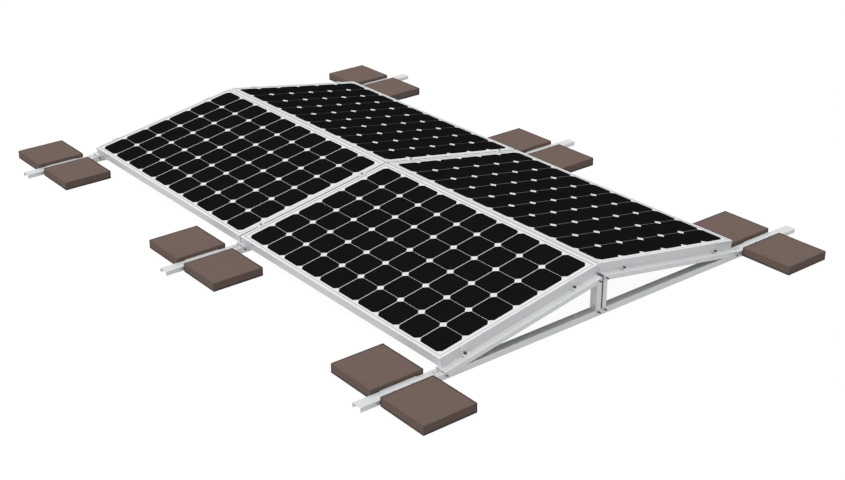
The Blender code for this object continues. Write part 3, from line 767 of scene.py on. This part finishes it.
@dataclass
class Module:
    """One framed module: its cells, its sealing bead and its junction box.

    Pairs of cell sizes are those of the left and of the right-hand side, and the
    pair of tones, of the painted shade in the seams, is that of the near and of
    the far row.
    """

    row: Row
    side: Side
    cells_up: int = 6
    cells_along: int = 10
    pitch_up: float = 0.1561
    pitch_along: float = 0.1580
    cell_widths: Pair = (0.1544, 0.1559)
    cell_lengths: Pair = (0.1543, 0.1548)
    corner_cut: float = 0.0200
    cell_rise: float = 0.00015
    # The rise, gap and near and far tones of the painted shade in the seams.
    film_rise: float = 0.00006
    film_gap: float = 0.00002
    film_tones: Pair = (0.75, 0.42)
    lip_inside: Pair = (0.4829, 0.8119)
    seal_width: float = 0.0055
    seal_height: float = 0.0010
    seal_corner: float = 0.0020
    seal_points: int = 7
    corner_steps: int = 4
    glass_margin: float = 0.0005
    least_upward: float = 0.5

    @property
    def label(self) -> str:
        """Return row and side as the nodes write them."""
        return place_label(self.row, self.side)

    def glass(self) -> Place:
        """Work out the glass's plane from the laminate's node.

        The plane's normal is that of the laminate's largest upward triangle,
        and its middle is that of the points that lie furthest along it.

        Returns:
            A place at the glass's middle, across pointing down the slope.
        """
        name = f"laminate_{self.label}"
        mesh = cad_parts[name].data
        upward = [face for face in mesh.polygons if face.normal.z > self.least_upward]
        normal = np.array(max(upward, key=lambda face: face.area).normal, float)
        points = node_points(name)
        height = points @ normal
        top = points[height > height.max() - self.glass_margin]
        down = np.array((self.side.value, 0.0, 0.0))
        return Place.facing(middle(top), normal, down)

    def cell_outline(self) -> Array:
        """Work out a cell's outline in the glass's plane.

        A rectangle with its corners cut off: each corner gives two points, one
        cut's length from it along either side.

        Returns:
            (n, 2) points, anticlockwise.
        """
        right = self.side is Side.RIGHT
        half = np.array((self.cell_widths[right], self.cell_lengths[right])) / 2
        along_v = half - (0.0, self.corner_cut)
        along_u = half - (self.corner_cut, 0.0)
        first = np.array((along_v, along_u, along_v, along_u))
        second = np.array((along_u, along_v, along_u, along_v))
        return np.stack((first * CORNERS, second * CORNERS), 1).reshape(-1, 2)

    def cell_rings(self) -> tuple[Array, Array]:
        """Work out one cell's rings about its middle, and the mark of each ring.

        The rings run up the wafer's edge, and the top face fills the last one.
        On the right-hand side the seams between the rows get painted shade: there
        a grey sheet reaches from the wafer's foot to the middle of the seam.

        Returns:
            The rings, shaped (rings, points, 3), and the marks, shaped (rings, 1).
        """
        outline = self.cell_outline()
        if self.side is Side.LEFT:
            return stacked([outline] * 2, [0.0, self.cell_rise]), np.zeros((2, 1))
        # Painted shade: a grey sheet in the seams of the right-hand modules.
        reach = (self.pitch_along - self.cell_lengths[1]) / 2 - self.film_gap
        on_row = np.abs(outline[:, 1]) > self.cell_lengths[1] / 2 - self.film_gap
        film = outline + np.stack((0 * on_row, np.sign(outline[:, 1]) * on_row * reach), -1)
        step = self.film_rise + self.film_gap
        levels = [0.0, self.film_rise, self.film_rise, step, self.cell_rise]
        tone = self.film_tones[self.row is Row.FAR]
        rings = stacked([film] * 2 + [outline] * 3, levels)
        return rings, np.array((tone, tone, tone, 0.0, 0.0))[:, None]

    def build_cells(self, dresser: Dresser) -> None:
        """Lay the module's cells, each a thin wafer, in rows over the sheet.

        Args:
            dresser: gives the finish.
        """
        glass = self.glass()
        rings, tones = self.cell_rings()
        shell = Shell()
        for i in range(self.cells_up):
            for j in range(self.cells_along):
                u = (i - (self.cells_up - 1) / 2) * self.pitch_up
                v = (j - (self.cells_along - 1) / 2) * self.pitch_along
                shell.add_grid(glass.points(rings + np.array((u, v, 0.0))), marks=tones)
        item = shell.build(f"cells_{self.label}", attribute="film")
        dresser.add_piece(item, CELL_SILICON)

    def build_seal(self, dresser: Dresser) -> None:
        """Run the grey sealing bead along the inner edge of the frame's lip.

        The bead's section is a half ellipse on the glass. Each of its points
        gives one rounded rectangle that much inside the lip, and the last of
        them joins the first under the bead.

        Args:
            dresser: gives the finish.
        """
        rings, levels = [], []
        for turn in np.linspace(0, math.pi, self.seal_points):
            inset = self.seal_width * (1 - math.cos(turn)) / 2
            corners = CORNERS * (np.array(self.lip_inside) - inset)
            rings.append(outline_path(corners, self.seal_corner, self.corner_steps))
            levels.append(self.seal_height * math.sin(turn))
        shell = Shell()
        shell.add_grid(self.glass().points(stacked(rings, levels)), looped=True)
        dresser.add_piece(shell.build(f"seal_{self.label}"), SEALANT)

    def build(self, dresser: Dresser) -> None:
        """Finish the frame and the laminate, and add the cells, the bead and the box.

        Args:
            dresser: gives the finishes.
        """
        dresser.dress_node(f"module_frame_{self.label}", FRAME_METAL)
        dresser.dress_node(f"laminate_{self.label}", BACK_SHEET)
        self.build_cells(dresser)
        self.build_seal(dresser)
        JunctionBox(self.label, self.glass()).build(dresser)


@dataclass
class Nut:
    """A hexagon nut on its washer, with a threaded tail that stands out of it.

    Shares are of the corners' reach past the flats (chamfer), of the corners'
    radius (corner), of the shank's radius (bore) and of the pitch (thread, taper).
    """

    flats: float
    height: float
    shank: float
    washer_radius: float
    pitch: float = 0.001
    washer_height: float = 0.0012
    washer_edge: float = 0.0002
    washer_drop: float = 0.0003
    washer_inset: float = 0.0004
    bore_chamfer: float = 0.0005
    chamfer_shares: Pair = (0.5, 0.8)
    corner_share: float = 1.01
    bore_shares: Pair = (1.02, 1.12)
    thread_share: float = 0.30
    taper_lag_share: float = 0.25
    least_taper: float = 0.35
    rings_a_pitch: int = 6
    sides: int = 36
    thread_sides: int = 24

    def add(self, shell: Shell, place: Place, tail: float) -> None:
        """Add a washer, a nut and a tail of thread, which alone is marked.

        Args:
            shell: takes the pieces.
            place: the washer's seat, out pointing along the thread.
            tail: how far the thread stands out of the nut.
        """
        shell.add_grid(place.points(self.washer_rings()))
        corner = self.flats / 2 / math.cos(HEX_STEP / 2)
        down, inwards = (share * (corner - self.flats / 2) for share in self.chamfer_shares)
        base, top = self.washer_height, self.washer_height + self.height
        bore, mouth = (self.shank * share for share in self.bore_shares)
        proud = corner * self.corner_share
        outside = ((base, corner - inwards), (base + down, proud), (top - down, proud))
        inside = ((top, corner - inwards), (top, mouth), (top - self.bore_chamfer, bore))
        profile = np.array(outside + inside)
        hexed = (True, True, True, True, False, False)
        shell.add_grid(place.points(turned(profile, self.sides, self.flats, hexed)))
        thread = self.thread_rings(top - self.pitch, top + tail)
        shell.add_grid(place.points(thread), marks=1.0)

    def washer_rings(self) -> Array:
        """Turn a flat washer with rolled edges.

        Returns:
            Rings of local points, from the seat up.
        """
        rim, high, edge = self.washer_radius, self.washer_height, self.washer_edge
        lower = ((0.0, rim - edge), (edge, rim), (high - self.washer_drop, rim))
        upper = ((high, rim - self.washer_inset), (high, self.shank))
        return turned(np.array(lower + upper), self.sides)

    def thread_rings(self, start: float, end: float) -> Array:
        """Work out a threaded tail along the out axis.

        The radius at a height and an angle falls from the crest by a triangle wave
        of height over pitch less angle over a full turn, so the ridge is a helix.

        Args:
            start: height of the lower end.
            end: height of the upper end.

        Returns:
            Rings of local points, with a chamfered end.
        """
        pitch, deep = self.pitch, self.thread_share * self.pitch
        step = pitch / self.rings_a_pitch
        height = np.arange(start, end + step / 2, step)
        angle = np.arange(self.thread_sides) * FULL_TURN / self.thread_sides
        turn = (height[:, None] / pitch - angle[None, :] / FULL_TURN) % 1
        wave = np.abs(2 * turn - 1)
        beyond = end + pitch * self.taper_lag_share - height
        taper = np.clip(beyond / pitch, self.least_taper, 1)[:, None]
        return round_axis(self.shank - deep * wave * taper - deep * (1 - taper), height)


@dataclass
class PanScrew:
    """The visible head of a pan-head screw, over a core that its node carries."""

    radius: float
    height: float
    core_height: float
    dimple: float = 0.0012
    dimple_share: float = 0.8
    dimple_drop_share: float = 0.125
    rim_share: float = 0.97
    crown_points: int = 9
    sides: int = 28

    def build(self, name: str, place: Place) -> bpy.types.Object:
        """Turn the head: a quarter ellipse from its rim to a small dimple.

        Args:
            name: the piece's name.
            place: the seat, out pointing to the crown.

        Returns:
            The head.
        """
        turn = np.linspace(0, math.acos(self.dimple / self.radius), self.crown_points)
        crown = np.stack((self.height * np.sin(turn), self.radius * np.cos(turn)), -1)
        drop = self.dimple * self.dimple_drop_share
        floor = (crown[-1, 0] - drop, self.dimple * self.dimple_share)
        profile = np.vstack(((0.0, self.radius * self.rim_share), crown[1:], floor))
        shell = Shell()
        shell.add_grid(place.points(turned(profile, self.sides)))
        return shell.build(name)


SMALL_NUT = Nut(flats=0.0102, height=0.0044, shank=0.0034, washer_radius=0.0068)
LARGE_NUT = Nut(flats=0.0133, height=0.0068, shank=0.0041, washer_radius=0.0085, pitch=0.00125)
JOINT_SCREW = PanScrew(radius=0.0052, height=0.0029, core_height=0.0025)
TRAY_SCREW = PanScrew(radius=0.0058, height=0.0024, core_height=0.0020)


@dataclass
class RoofFrame:
    """One triangular frame: base rail, ballast rails, sloping rails and posts."""

    row: Row
    front_reach: float = 0.0285
    rail_front: float = 0.0333
    rail_back: float = 0.0317
    post_front: float = 0.0308
    wall: float = 0.002
    slope_degrees: float = 9.76
    ring_margin: float = 0.0001
    eave_tail: float = 0.0030
    ridge_tail: float = 0.0105
    inner_tail: float = 0.0062
    screw_margin: float = 0.0004

    def head_spot(self, points: Array) -> Array:
        """Find the middle of a bolt from the outermost ring of its head.

        Args:
            points: the points of its carrier, or those near the bolt.

        Returns:
            The middle in x and z, with y in the frame's plane, which lies a
            named reach behind the base rail's front face.
        """
        ring = points[points[:, 1] < points[:, 1].min() + self.ring_margin]
        spot = middle(ring)
        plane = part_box(f"base_rail_{self.row.label}")[0].y + self.front_reach
        return np.array((spot[0], plane, spot[2]))

    def add_stud(
        self, dresser: Dresser, name: str, spot: Array, across: Array,
        seats: tuple[float, ...], tails: tuple[float, ...],
    ) -> None:
        """Add a threaded stud along y with a nut at each seat.

        Args:
            dresser: gives the finish.
            name: the piece's name.
            spot: the stud's middle, in the frame's plane.
            across: the direction that the nuts' flats face.
            seats: where the nuts seat, counted from the plane; the first nut
                faces the near end and the second one the far end.
            tails: how far the thread stands out of each nut.
        """
        shell = Shell()
        for seat, tail, way in zip(seats, tails, (-1, 1)):
            place = Place.facing(spot + ALONG_RIDGE * seat, ALONG_RIDGE * way, across)
            SMALL_NUT.add(shell, place, tail)
        dresser.add_piece(shell.build(name, attribute="thread"), BOLT_METAL)

    def build_studs(self, dresser: Dresser, side: Side) -> None:
        """Add the studs at the eave and at the ridge of one side.

        Args:
            dresser: gives the finish.
            side: the side of the ridge.
        """
        label = place_label(self.row, side)
        tilt = math.radians(self.slope_degrees)
        downhill = np.array((side.value * math.cos(tilt), 0.0, -math.sin(tilt)))
        spot = self.head_spot(node_points(f"slope_rail_{label}"))
        seats = (-self.rail_front, self.rail_back)
        self.add_stud(dresser, f"eave_bolt_{label}", spot, downhill, seats, (self.eave_tail,) * 2)
        points = node_points(f"post_{label}")
        split = middle(points)[2]
        spot = self.head_spot(points[points[:, 2] > split])
        seats = (-self.rail_front, self.wall - self.post_front)
        tails = (self.ridge_tail, self.inner_tail)
        self.add_stud(dresser, f"ridge_bolt_{label}_high", spot, UP, seats, tails)
        spot = self.head_spot(points[points[:, 2] < split])
        seats, tails = (-self.post_front,), (self.ridge_tail,)
        self.add_stud(dresser, f"ridge_bolt_{label}_low", spot, UP, seats, tails)

    def build_screws(self, dresser: Dresser, side: Side) -> None:
        """Cover the joint screws and the tray's screws with their pan heads.

        Args:
            dresser: gives the finish.
            side: the side of the ridge.
        """
        label = place_label(self.row, side)
        screws = {"joint": ("ballast_rail", JOINT_SCREW), "tray": ("ballast_tray", TRAY_SCREW)}
        for kind, (carrier, screw) in screws.items():
            points = node_points(f"{carrier}_{label}")
            crown = points[points[:, 2] > points[:, 2].max() - self.screw_margin]
            left = crown[:, 0] < middle(crown)[0]
            for tag, group in (("low", crown[left]), ("high", crown[~left])):
                place = Place.facing(middle(group) - UP * screw.core_height, UP, ALONG_RIDGE)
                item = screw.build(f"{kind}_screw_{label}_{tag}", place)
                dresser.add_piece(item, BOLT_METAL)

    def build(self, dresser: Dresser) -> None:
        """Finish the frame's rails and add its fasteners.

        Args:
            dresser: gives the finishes.
        """
        dresser.dress_node(f"base_rail_{self.row.label}", STEEL)
        for side in Side:
            for kind in ("ballast_rail", "slope_rail", "post", "ballast_tray"):
                dresser.dress_node(f"{kind}_{place_label(self.row, side)}", STEEL)
            self.build_studs(dresser, side)
            self.build_screws(dresser, side)


@dataclass
class SocketBolt:
    """A socket-head bolt: its shank, its head and the hexagon sunk into it."""

    head_radius: float = 0.0068
    head_height: float = 0.0085
    shank: float = 0.0038
    foot_inset: float = 0.0003
    foot_rise: float = 0.0004
    crown: Pairs = ((0.0008, 0.0), (0.0002, 0.0005), (0.0, 0.0012))
    socket_flats: float = 0.0052
    socket_depth: float = 0.005
    socket_chamfer: float = 0.0006
    socket_margin: float = 0.0001
    sides: int = 48

    def rings(self, reach: float) -> Array:
        """Turn the bolt round the out axis, its head seated at height 0.

        Args:
            reach: how far the shank goes below the seat.

        Returns:
            Rings of local points. The crown's come from its pairs of how far
            they lie below the top and inside the head's side.
        """
        radius, high = self.head_radius, self.head_height
        bore = self.socket_flats / 2 + self.socket_margin
        mouth = self.socket_flats / 2 + self.socket_chamfer
        shank = ((-reach, self.shank), (0.0, self.shank))
        foot = ((0.0, radius - self.foot_inset), (self.foot_rise, radius))
        crown = tuple((high - drop, radius - inset) for drop, inset in self.crown)
        socket = ((high - self.socket_chamfer, bore), (high - self.socket_depth, bore))
        profile = np.array((*shank, *foot, *crown, (high, mouth), *socket))
        hexed = (False,) * (len(profile) - len(socket)) + (True,) * len(socket)
        return turned(profile, self.sides, self.socket_flats, hexed)


@dataclass
class Clamp:
    """An end or mid clamp: an extruded profile and its socket-head bolt.

    The end is -1 or 1 for the module's end that it holds, or 0 for a mid clamp.
    """

    node: str
    glass: Place
    end: int
    length: float = 0.040
    wall: float = 0.0035
    module_depth: float = 0.0465
    fit: float = 0.0003
    lip: float = 0.009
    foot: float = 0.025
    half_gap: float = 0.0063
    web_depth: float = 0.014
    end_radii: tuple[float, ...] = (0.0004, 0.0006, 0.0014, 0.0016, 0.0026, 0.0009, 0.0005, 0.0005)
    mid_radii: tuple[float, ...] = (0.0008, 0.0008, 0.0005, 0.0005, 0.0012, 0.0012, 0.0005, 0.0005)
    arc_steps: int = 5
    groove: float = 0.0004
    groove_share: float = 0.6
    sharp_degrees: float = 25.0
    bolt_place: float = 0.0103
    rail_wall: float = 0.002
    nut_tail: float = 0.0030
    lip_over_glass: float = 0.0012

    @property
    def top(self) -> float:
        """Return the height of the lips' undersides over the rail."""
        return self.module_depth + 2 * self.fit

    def place(self) -> Place:
        """Work out the clamp's place, at the rail's top face below its middle.

        Returns:
            A place whose across points down the slope, whose along points from
            the module's end outwards, and whose out is the slope's normal.
        """
        local = self.glass.local(node_points(self.node))
        centre = middle(local)
        foot = self.lip_over_glass - self.module_depth - self.fit
        along = centre[1]
        if self.end:
            inner = local[:, 1].min() if self.end > 0 else local[:, 1].max()
            along = inner + self.end * self.lip
        spot = self.glass.points(np.array((centre[0], along, foot)))
        out_along = self.glass.along * (self.end or 1)
        return Place(spot, self.glass.across, out_along, self.glass.out)

    def profile(self) -> Array:
        """Work out the clamp's section, with its corners rounded.

        Returns:
            (outward, up) points, anticlockwise.
        """
        top, fit, wall, lip = self.top, self.fit, self.wall, self.lip
        if self.end:
            corners = (
                (fit, fit), (self.foot, fit), (self.foot, fit + wall), (fit + wall, fit + wall),
                (fit + wall, top + wall), (-lip, top + wall), (-lip, top), (fit, top),
            )
        else:
            wing, web, low = self.half_gap + lip, self.half_gap - fit, top - self.web_depth
            corners = (
                (-web, low), (web, low), (web, top), (wing, top),
                (wing, top + wall), (-wing, top + wall), (-wing, top), (-web, top),
            )
        radii = np.array(self.end_radii if self.end else self.mid_radii)
        return outline_path(np.array(corners), radii, self.arc_steps)

    def build(self, dresser: Dresser) -> None:
        """Extrude the clamp in place of its node, and set its bolt.

        The section is carried across the slope; its first and last rings are
        drawn in a little towards the section's middle line, as a deburred saw
        cut leaves them. An end clamp's end faces are split where the foot meets
        the web, and the foot's share of them is marked dark, as painted shade on
        the foot's ends.

        Args:
            dresser: gives the finishes.
        """
        place = self.place()
        section = self.profile()
        inward = np.roll(section, -1, 0) - np.roll(section, 1, 0)
        inward = np.stack((-inward[:, 1], inward[:, 0]), -1)
        inward /= np.linalg.norm(inward, axis=1, keepdims=True)
        drawn = section + inward * self.groove * self.groove_share
        half = self.length / 2
        stations = [-half, -half + self.groove, half - self.groove, half]
        grid = place.points(np.roll(stacked([drawn, section, section, drawn], stations), 1, -1))
        if np.dot(np.cross(place.across, place.along), place.out) < 0:
            grid = grid[::-1]
        shell = Shell()
        foot_split = (self.arc_steps, 3 * (self.arc_steps + 1))
        shell.add_grid(grid, chord=foot_split if self.end else ())
        item = shell.build(f"profile_{self.node}", self.sharp_degrees)
        sawn = np.zeros(len(item.data.polygons))
        # The last four faces are the end faces, at each end the foot's before the web's.
        if self.end:
            # Painted shade on the foot's end faces.
            sawn[[-4, -2]] = 1.0
        store_marks(item, "sawn", sawn, "FACE")
        dresser.add_piece(item, CLAMP_METAL, (self.node,))
        self.build_bolt(dresser, place)

    def build_bolt(self, dresser: Dresser, place: Place) -> None:
        """Set a socket-head bolt, and its nut and tail under the rail.

        Args:
            dresser: gives the finish.
            place: the clamp's place.
        """
        outward = self.bolt_place if self.end else 0.0
        seat = self.fit + self.wall if self.end else self.top + self.wall
        spot = place.points(np.array((0.0, outward, seat)))
        head = Place.facing(spot, place.out, place.across)
        shell = Shell()
        shell.add_grid(head.points(SocketBolt().rings(seat + self.rail_wall + self.nut_tail)))
        under = place.points(np.array((0.0, outward, -self.rail_wall)))
        LARGE_NUT.add(shell, Place.facing(under, -place.out, place.across), self.nut_tail)
        item = shell.build(self.node.replace("clamp", "clamp_bolt"), attribute="thread")
        dresser.add_piece(item, DARK_BOLT if self.end else BOLT_METAL)


@dataclass
class Slab:
    """A cast concrete slab with rounded arrises and painted shade along its edges.

    Each edge whose painted shade line is faint is given by its two faces, and
    each of those by an axis and by 0 or 1 for its lower or its upper end.
    """

    node: str
    seed: int
    arris: float = 0.0020
    corner: float = 0.0020
    least_corner_share: float = 0.02
    arc_points: int = 5
    around: int = 30
    inward: int = 26
    upright: int = 12
    crowding: float = 1.25
    sharp_degrees: float = 60.0
    relief: float = 0.00035
    waves: int = 14
    wave_rate: float = 90.0
    wave_spread: Pair = (0.3, 2.2)
    wave_gain: float = 1.6
    face_margin_share: float = 0.02
    mark_width: float = 0.0090
    mark_power: int = 4
    faint: float = 0.08
    # The edges whose painted shade line stays faint.
    faint_edges: tuple[tuple[int, int, int, int], ...] = ((0, 0, 1, 0), (0, 0, 2, 1), (1, 0, 2, 1))

    def build(self, dresser: Dresser) -> None:
        """Cast the slab over its node.

        A rounded square is carried up the profile, and every point then sinks
        along its faces' normals by a sum of sine waves in random directions.

        Args:
            dresser: gives the finish.
        """
        low, high = (np.array(corner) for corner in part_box(self.node))
        centre, half = (low + high) / 2, (high - low) / 2
        profile = self.profile(half)
        rings = [self.ring(half[:2] - inset, half[0]) for inset in profile[:, 0]]
        grid = stacked(rings, profile[:, 1]) + np.array((centre[0], centre[1], low[2]))
        grid = self.weathered(grid, low + half)
        shell = Shell()
        shell.add_grid(grid, marks=self.arris_marks(grid, low, high))
        item = shell.build(f"cast_{self.node}", self.sharp_degrees, "arris")
        dresser.add_piece(item, CONCRETE, (self.node,))

    def profile(self, half: Array) -> Array:
        """Work out the slab's profile from the underside's middle to the top's.

        It goes out from the middle of the underside with its points crowded
        towards the edge, round the lower arris by a quarter circle, up the side
        with even turns of a sine, and back in the same way over the top.

        Args:
            half: half the slab's size.

        Returns:
            (inset, height) pairs.
        """
        turn = np.linspace(0, QUARTER_TURN, self.arc_points)
        arris = self.arris * np.stack((1 - np.sin(turn), 1 - np.cos(turn)), -1)
        shares = np.linspace(1, 0, self.inward)[:-1] ** self.crowding
        flat = shares * (half[0] - self.arris) + self.arris
        edge = np.vstack((np.stack((flat, np.zeros_like(flat)), -1), arris))
        rise = np.sin(np.linspace(-QUARTER_TURN, QUARTER_TURN, self.upright))[1:-1]
        side = half[2] + rise * (half[2] - self.arris)
        wall = np.stack((np.zeros_like(side), side), -1)
        return np.vstack((edge, wall, edge[::-1] * (1, -1) + (0, 2 * half[2])))

    def ring(self, half: Array, full: float) -> Array:
        """Work out a rounded square, its points crowded towards its corners.

        Args:
            half: half its size.
            full: half the slab's own width, at which the corner is full.

        Returns:
            (n, 2) points, anticlockwise.
        """
        radius = max(self.corner * half[0] / full, half[0] * self.least_corner_share)
        straight = half - radius
        arc = np.linspace(0, QUARTER_TURN, self.arc_points)
        along = np.sin(np.linspace(-QUARTER_TURN, QUARTER_TURN, self.around))[1:-1]
        corner = straight + radius * np.stack((np.cos(arc), np.sin(arc)), -1)
        edge = np.stack((-along * straight[0], np.full_like(along, half[1])), -1)
        quarter = np.vstack((corner, edge))
        turn = np.arange(4) * QUARTER_TURN
        cos, sin = np.cos(turn), np.sin(turn)
        turned_by = np.stack((cos, sin, -sin, cos), -1).reshape(4, 2, 2)
        return (quarter @ turned_by).reshape(-1, 2)

    def weathered(self, grid: Array, centre: Array) -> Array:
        """Sink the points towards the slab's middle by smooth random waves.

        Args:
            grid: the slab's points.
            centre: its middle.

        Returns:
            The points, each moved along the axes of the faces that it lies on.
        """
        draw = np.random.default_rng(self.seed)
        directions = draw.normal(size=(self.waves, 3)) * self.wave_rate
        directions = directions * draw.uniform(*self.wave_spread, (self.waves, 1))
        phase = draw.uniform(0, FULL_TURN, self.waves)
        height = np.sin(grid @ directions.T + phase).mean(-1, keepdims=True) * self.wave_gain
        sunk = self.relief * np.clip(0.5 + height, 0, 1)
        away = grid - centre
        shares = np.abs(away) / np.abs(away).reshape(-1, 3).max(0)
        on_face = shares >= shares.max(-1, keepdims=True) - self.face_margin_share
        return grid - np.where(on_face, np.sign(away), 0.0) * sunk

    def arris_marks(self, grid: Array, low: Array, high: Array) -> Array:
        """Work out how strongly each point shows the dark line of painted shade along an edge.

        A point's distance from an edge is the sum of its distances to the two
        faces of the box that meet there, and the line fades with its fourth
        power. The top edges towards the near end and the left, and the upright
        one between those sides, get only a faint line.

        Args:
            grid: the slab's points.
            low: the lower corner of its box.
            high: the upper corner.

        Returns:
            Marks from 0 to 1.
        """
        gaps = np.stack((grid - low, high - grid))
        mark = np.zeros(grid.shape[:-1])
        for first, second in ((0, 1), (0, 2), (1, 2)):
            for i in (0, 1):
                for j in (0, 1):
                    distance = gaps[i][..., first] + gaps[j][..., second]
                    strength = self.faint if (first, i, second, j) in self.faint_edges else 1.0
                    fade = np.exp(-((distance / self.mark_width) ** self.mark_power))
                    mark = np.maximum(mark, strength * fade)
        return mark


@dataclass
class Studio:
    """The floor, the lamp, the sky and the camera."""

    camera_place: tuple[float, float, float] = (-4.5301, -5.9056, 3.2729)
    azimuth: float = -36.272
    elevation: float = 22.842
    roll: float = -1.080
    focal_pixels: float = 1425.04
    axis_pixel: Pair = (358.957, 182.341)
    image_size: tuple[int, int] = (845, 480)
    sensor: float = 36.0
    floor_size: float = 60.0
    floor_drop: float = 0.0004
    floor_albedo: float = 0.42
    floor_glow: float = 0.88
    floor_strength: float = 1.09
    sky_light: float = 0.56
    sky_white: float = 1.0
    sun_power: float = 1.72
    sun_angle: float = 50.0
    sun_from: tuple[float, float, float] = (-0.60, 0.03, 1.0)

    def build_camera(self) -> None:
        """Place the camera where the photograph was taken from."""
        data = bpy.data.cameras.new("photo_camera")
        width, height = self.image_size
        data.sensor_width = self.sensor
        data.lens = self.focal_pixels * self.sensor / width
        data.shift_x = (width / 2 - self.axis_pixel[0]) / width
        data.shift_y = (self.axis_pixel[1] - height / 2) / width
        data.clip_end = 2 * self.floor_size
        item = bpy.data.objects.new("photo_camera", data)
        turn = (
            Matrix.Rotation(math.radians(self.azimuth), 4, "Z")
            @ Matrix.Rotation(math.radians(90 - self.elevation), 4, "X")
            @ Matrix.Rotation(math.radians(self.roll), 4, "Z")
        )
        item.matrix_world = Matrix.Translation(Vector(self.camera_place)) @ turn
        bpy.context.scene.collection.objects.link(item)
        bpy.context.scene.camera = item

    @staticmethod
    def _seen_rays(tree: Tree) -> Socket:
        """Tell the rays that show the background: camera, glossy and transmission.

        Args:
            tree: takes the nodes.

        Returns:
            1 for those rays and 0 for the others.
        """
        path = add_node(tree, "ShaderNodeLightPath").outputs
        either = computed(tree, "MAXIMUM", path["Is Camera Ray"], path["Is Glossy Ray"])
        return computed(tree, "MAXIMUM", either, path["Is Transmission Ray"])

    @staticmethod
    def _put_out(tree: Tree, kind: str, share: Socket, *shaders: Node) -> None:
        """Send a blend of two shaders to a new output node.

        Args:
            tree: takes the nodes.
            kind: the output node's type.
            share: how much of the second shader there is.
            shaders: the two shaders.
        """
        first, second = (shader.outputs[0] for shader in shaders)
        mix = add_node(tree, "ShaderNodeMixShader", {0: share, 1: first, 2: second})
        add_node(tree, kind, {"Surface": mix.outputs[0]})

    def build_floor(self) -> None:
        """Lay a pale floor, which seen directly keeps only a light shadow of the mount."""
        half = self.floor_size / 2
        corners = [(x * half, y * half, -self.floor_drop) for x, y in CORNERS.tolist()]
        mesh = bpy.data.meshes.new("floor")
        mesh.from_pydata(corners, [], [(0, 1, 2, 3)])
        floor = bpy.data.objects.new("floor", mesh)
        bpy.context.scene.collection.objects.link(floor)
        material = bpy.data.materials.new("pale_floor")
        material.use_nodes = True
        tree = material.node_tree
        tree.nodes.clear()
        albedo = opaque((self.floor_albedo,) * 3)
        matt = add_node(tree, "ShaderNodeBsdfDiffuse", {"Color": albedo})
        glow = add_node(tree, "ShaderNodeEmission", {"Strength": self.floor_strength})
        share = computed(tree, "MULTIPLY", self._seen_rays(tree), self.floor_glow)
        self._put_out(tree, "ShaderNodeOutputMaterial", share, matt, glow)
        mesh.materials.append(material)

    def build_sky(self) -> None:
        """Make the sky white where it is seen and softer where it lights."""
        world = bpy.data.worlds.new("studio")
        bpy.context.scene.world = world
        world.use_nodes = True
        tree = world.node_tree
        tree.nodes.clear()
        light, white = (
            add_node(tree, "ShaderNodeBackground", {"Color": opaque((1.0,) * 3), "Strength": power})
            for power in (self.sky_light, self.sky_white)
        )
        self._put_out(tree, "ShaderNodeOutputWorld", self._seen_rays(tree), light, white)

    def build_lamp(self) -> None:
        """Hang one broad soft lamp high on the left."""
        data = bpy.data.lights.new("soft_lamp", "SUN")
        data.energy = self.sun_power
        data.angle = math.radians(self.sun_angle)
        item = bpy.data.objects.new("soft_lamp", data)
        item.rotation_euler = Vector(self.sun_from).to_track_quat("Z", "Y").to_euler()
        bpy.context.scene.collection.objects.link(item)

    def build(self) -> None:
        """Set the whole stage and the view transform."""
        self.build_camera()
        self.build_floor()
        self.build_sky()
        self.build_lamp()
        bpy.context.scene.view_settings.view_transform = "Standard"


def build_clamps(dresser: Dresser) -> None:
    """Build the eight end clamps and the four mid clamps.

    Args:
        dresser: gives the finishes.
    """
    for side in Side:
        for station in ("low", "high"):
            for row in (Row.NEAR, Row.FAR):
                glass = Module(row, side).glass()
                end = row.value if glass.along[1] > 0 else -row.value
                Clamp(f"end_clamp_{row.label}_{side.label}_{station}", glass, end).build(dresser)
            glass = Module(Row.NEAR, side).glass()
            Clamp(f"mid_clamp_{side.label}_{station}", glass, 0).build(dresser)


def build_slabs(dresser: Dresser) -> None:
    """Cast the twelve slabs, each with a seed of its own.

    Args:
        dresser: gives the finish.
    """
    names = sorted(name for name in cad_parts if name.startswith("slab_"))
    for seed, name in enumerate(names, 1):
        Slab(name, seed).build(dresser)


def main() -> None:
    """Build the stage, the modules, the frames, the clamps and the ballast."""
    logging.basicConfig(level=logging.INFO, format="%(message)s")
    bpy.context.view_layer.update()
    Studio().build()
    dresser = Dresser()
    for row in (Row.NEAR, Row.FAR):
        for side in Side:
            Module(row, side).build(dresser)
    for row in Row:
        RoofFrame(row).build(dresser)
    build_clamps(dresser)
    build_slabs(dresser)
    LOG.info("%d new pieces", dresser.count)


if __name__ == "__main__":
    main()
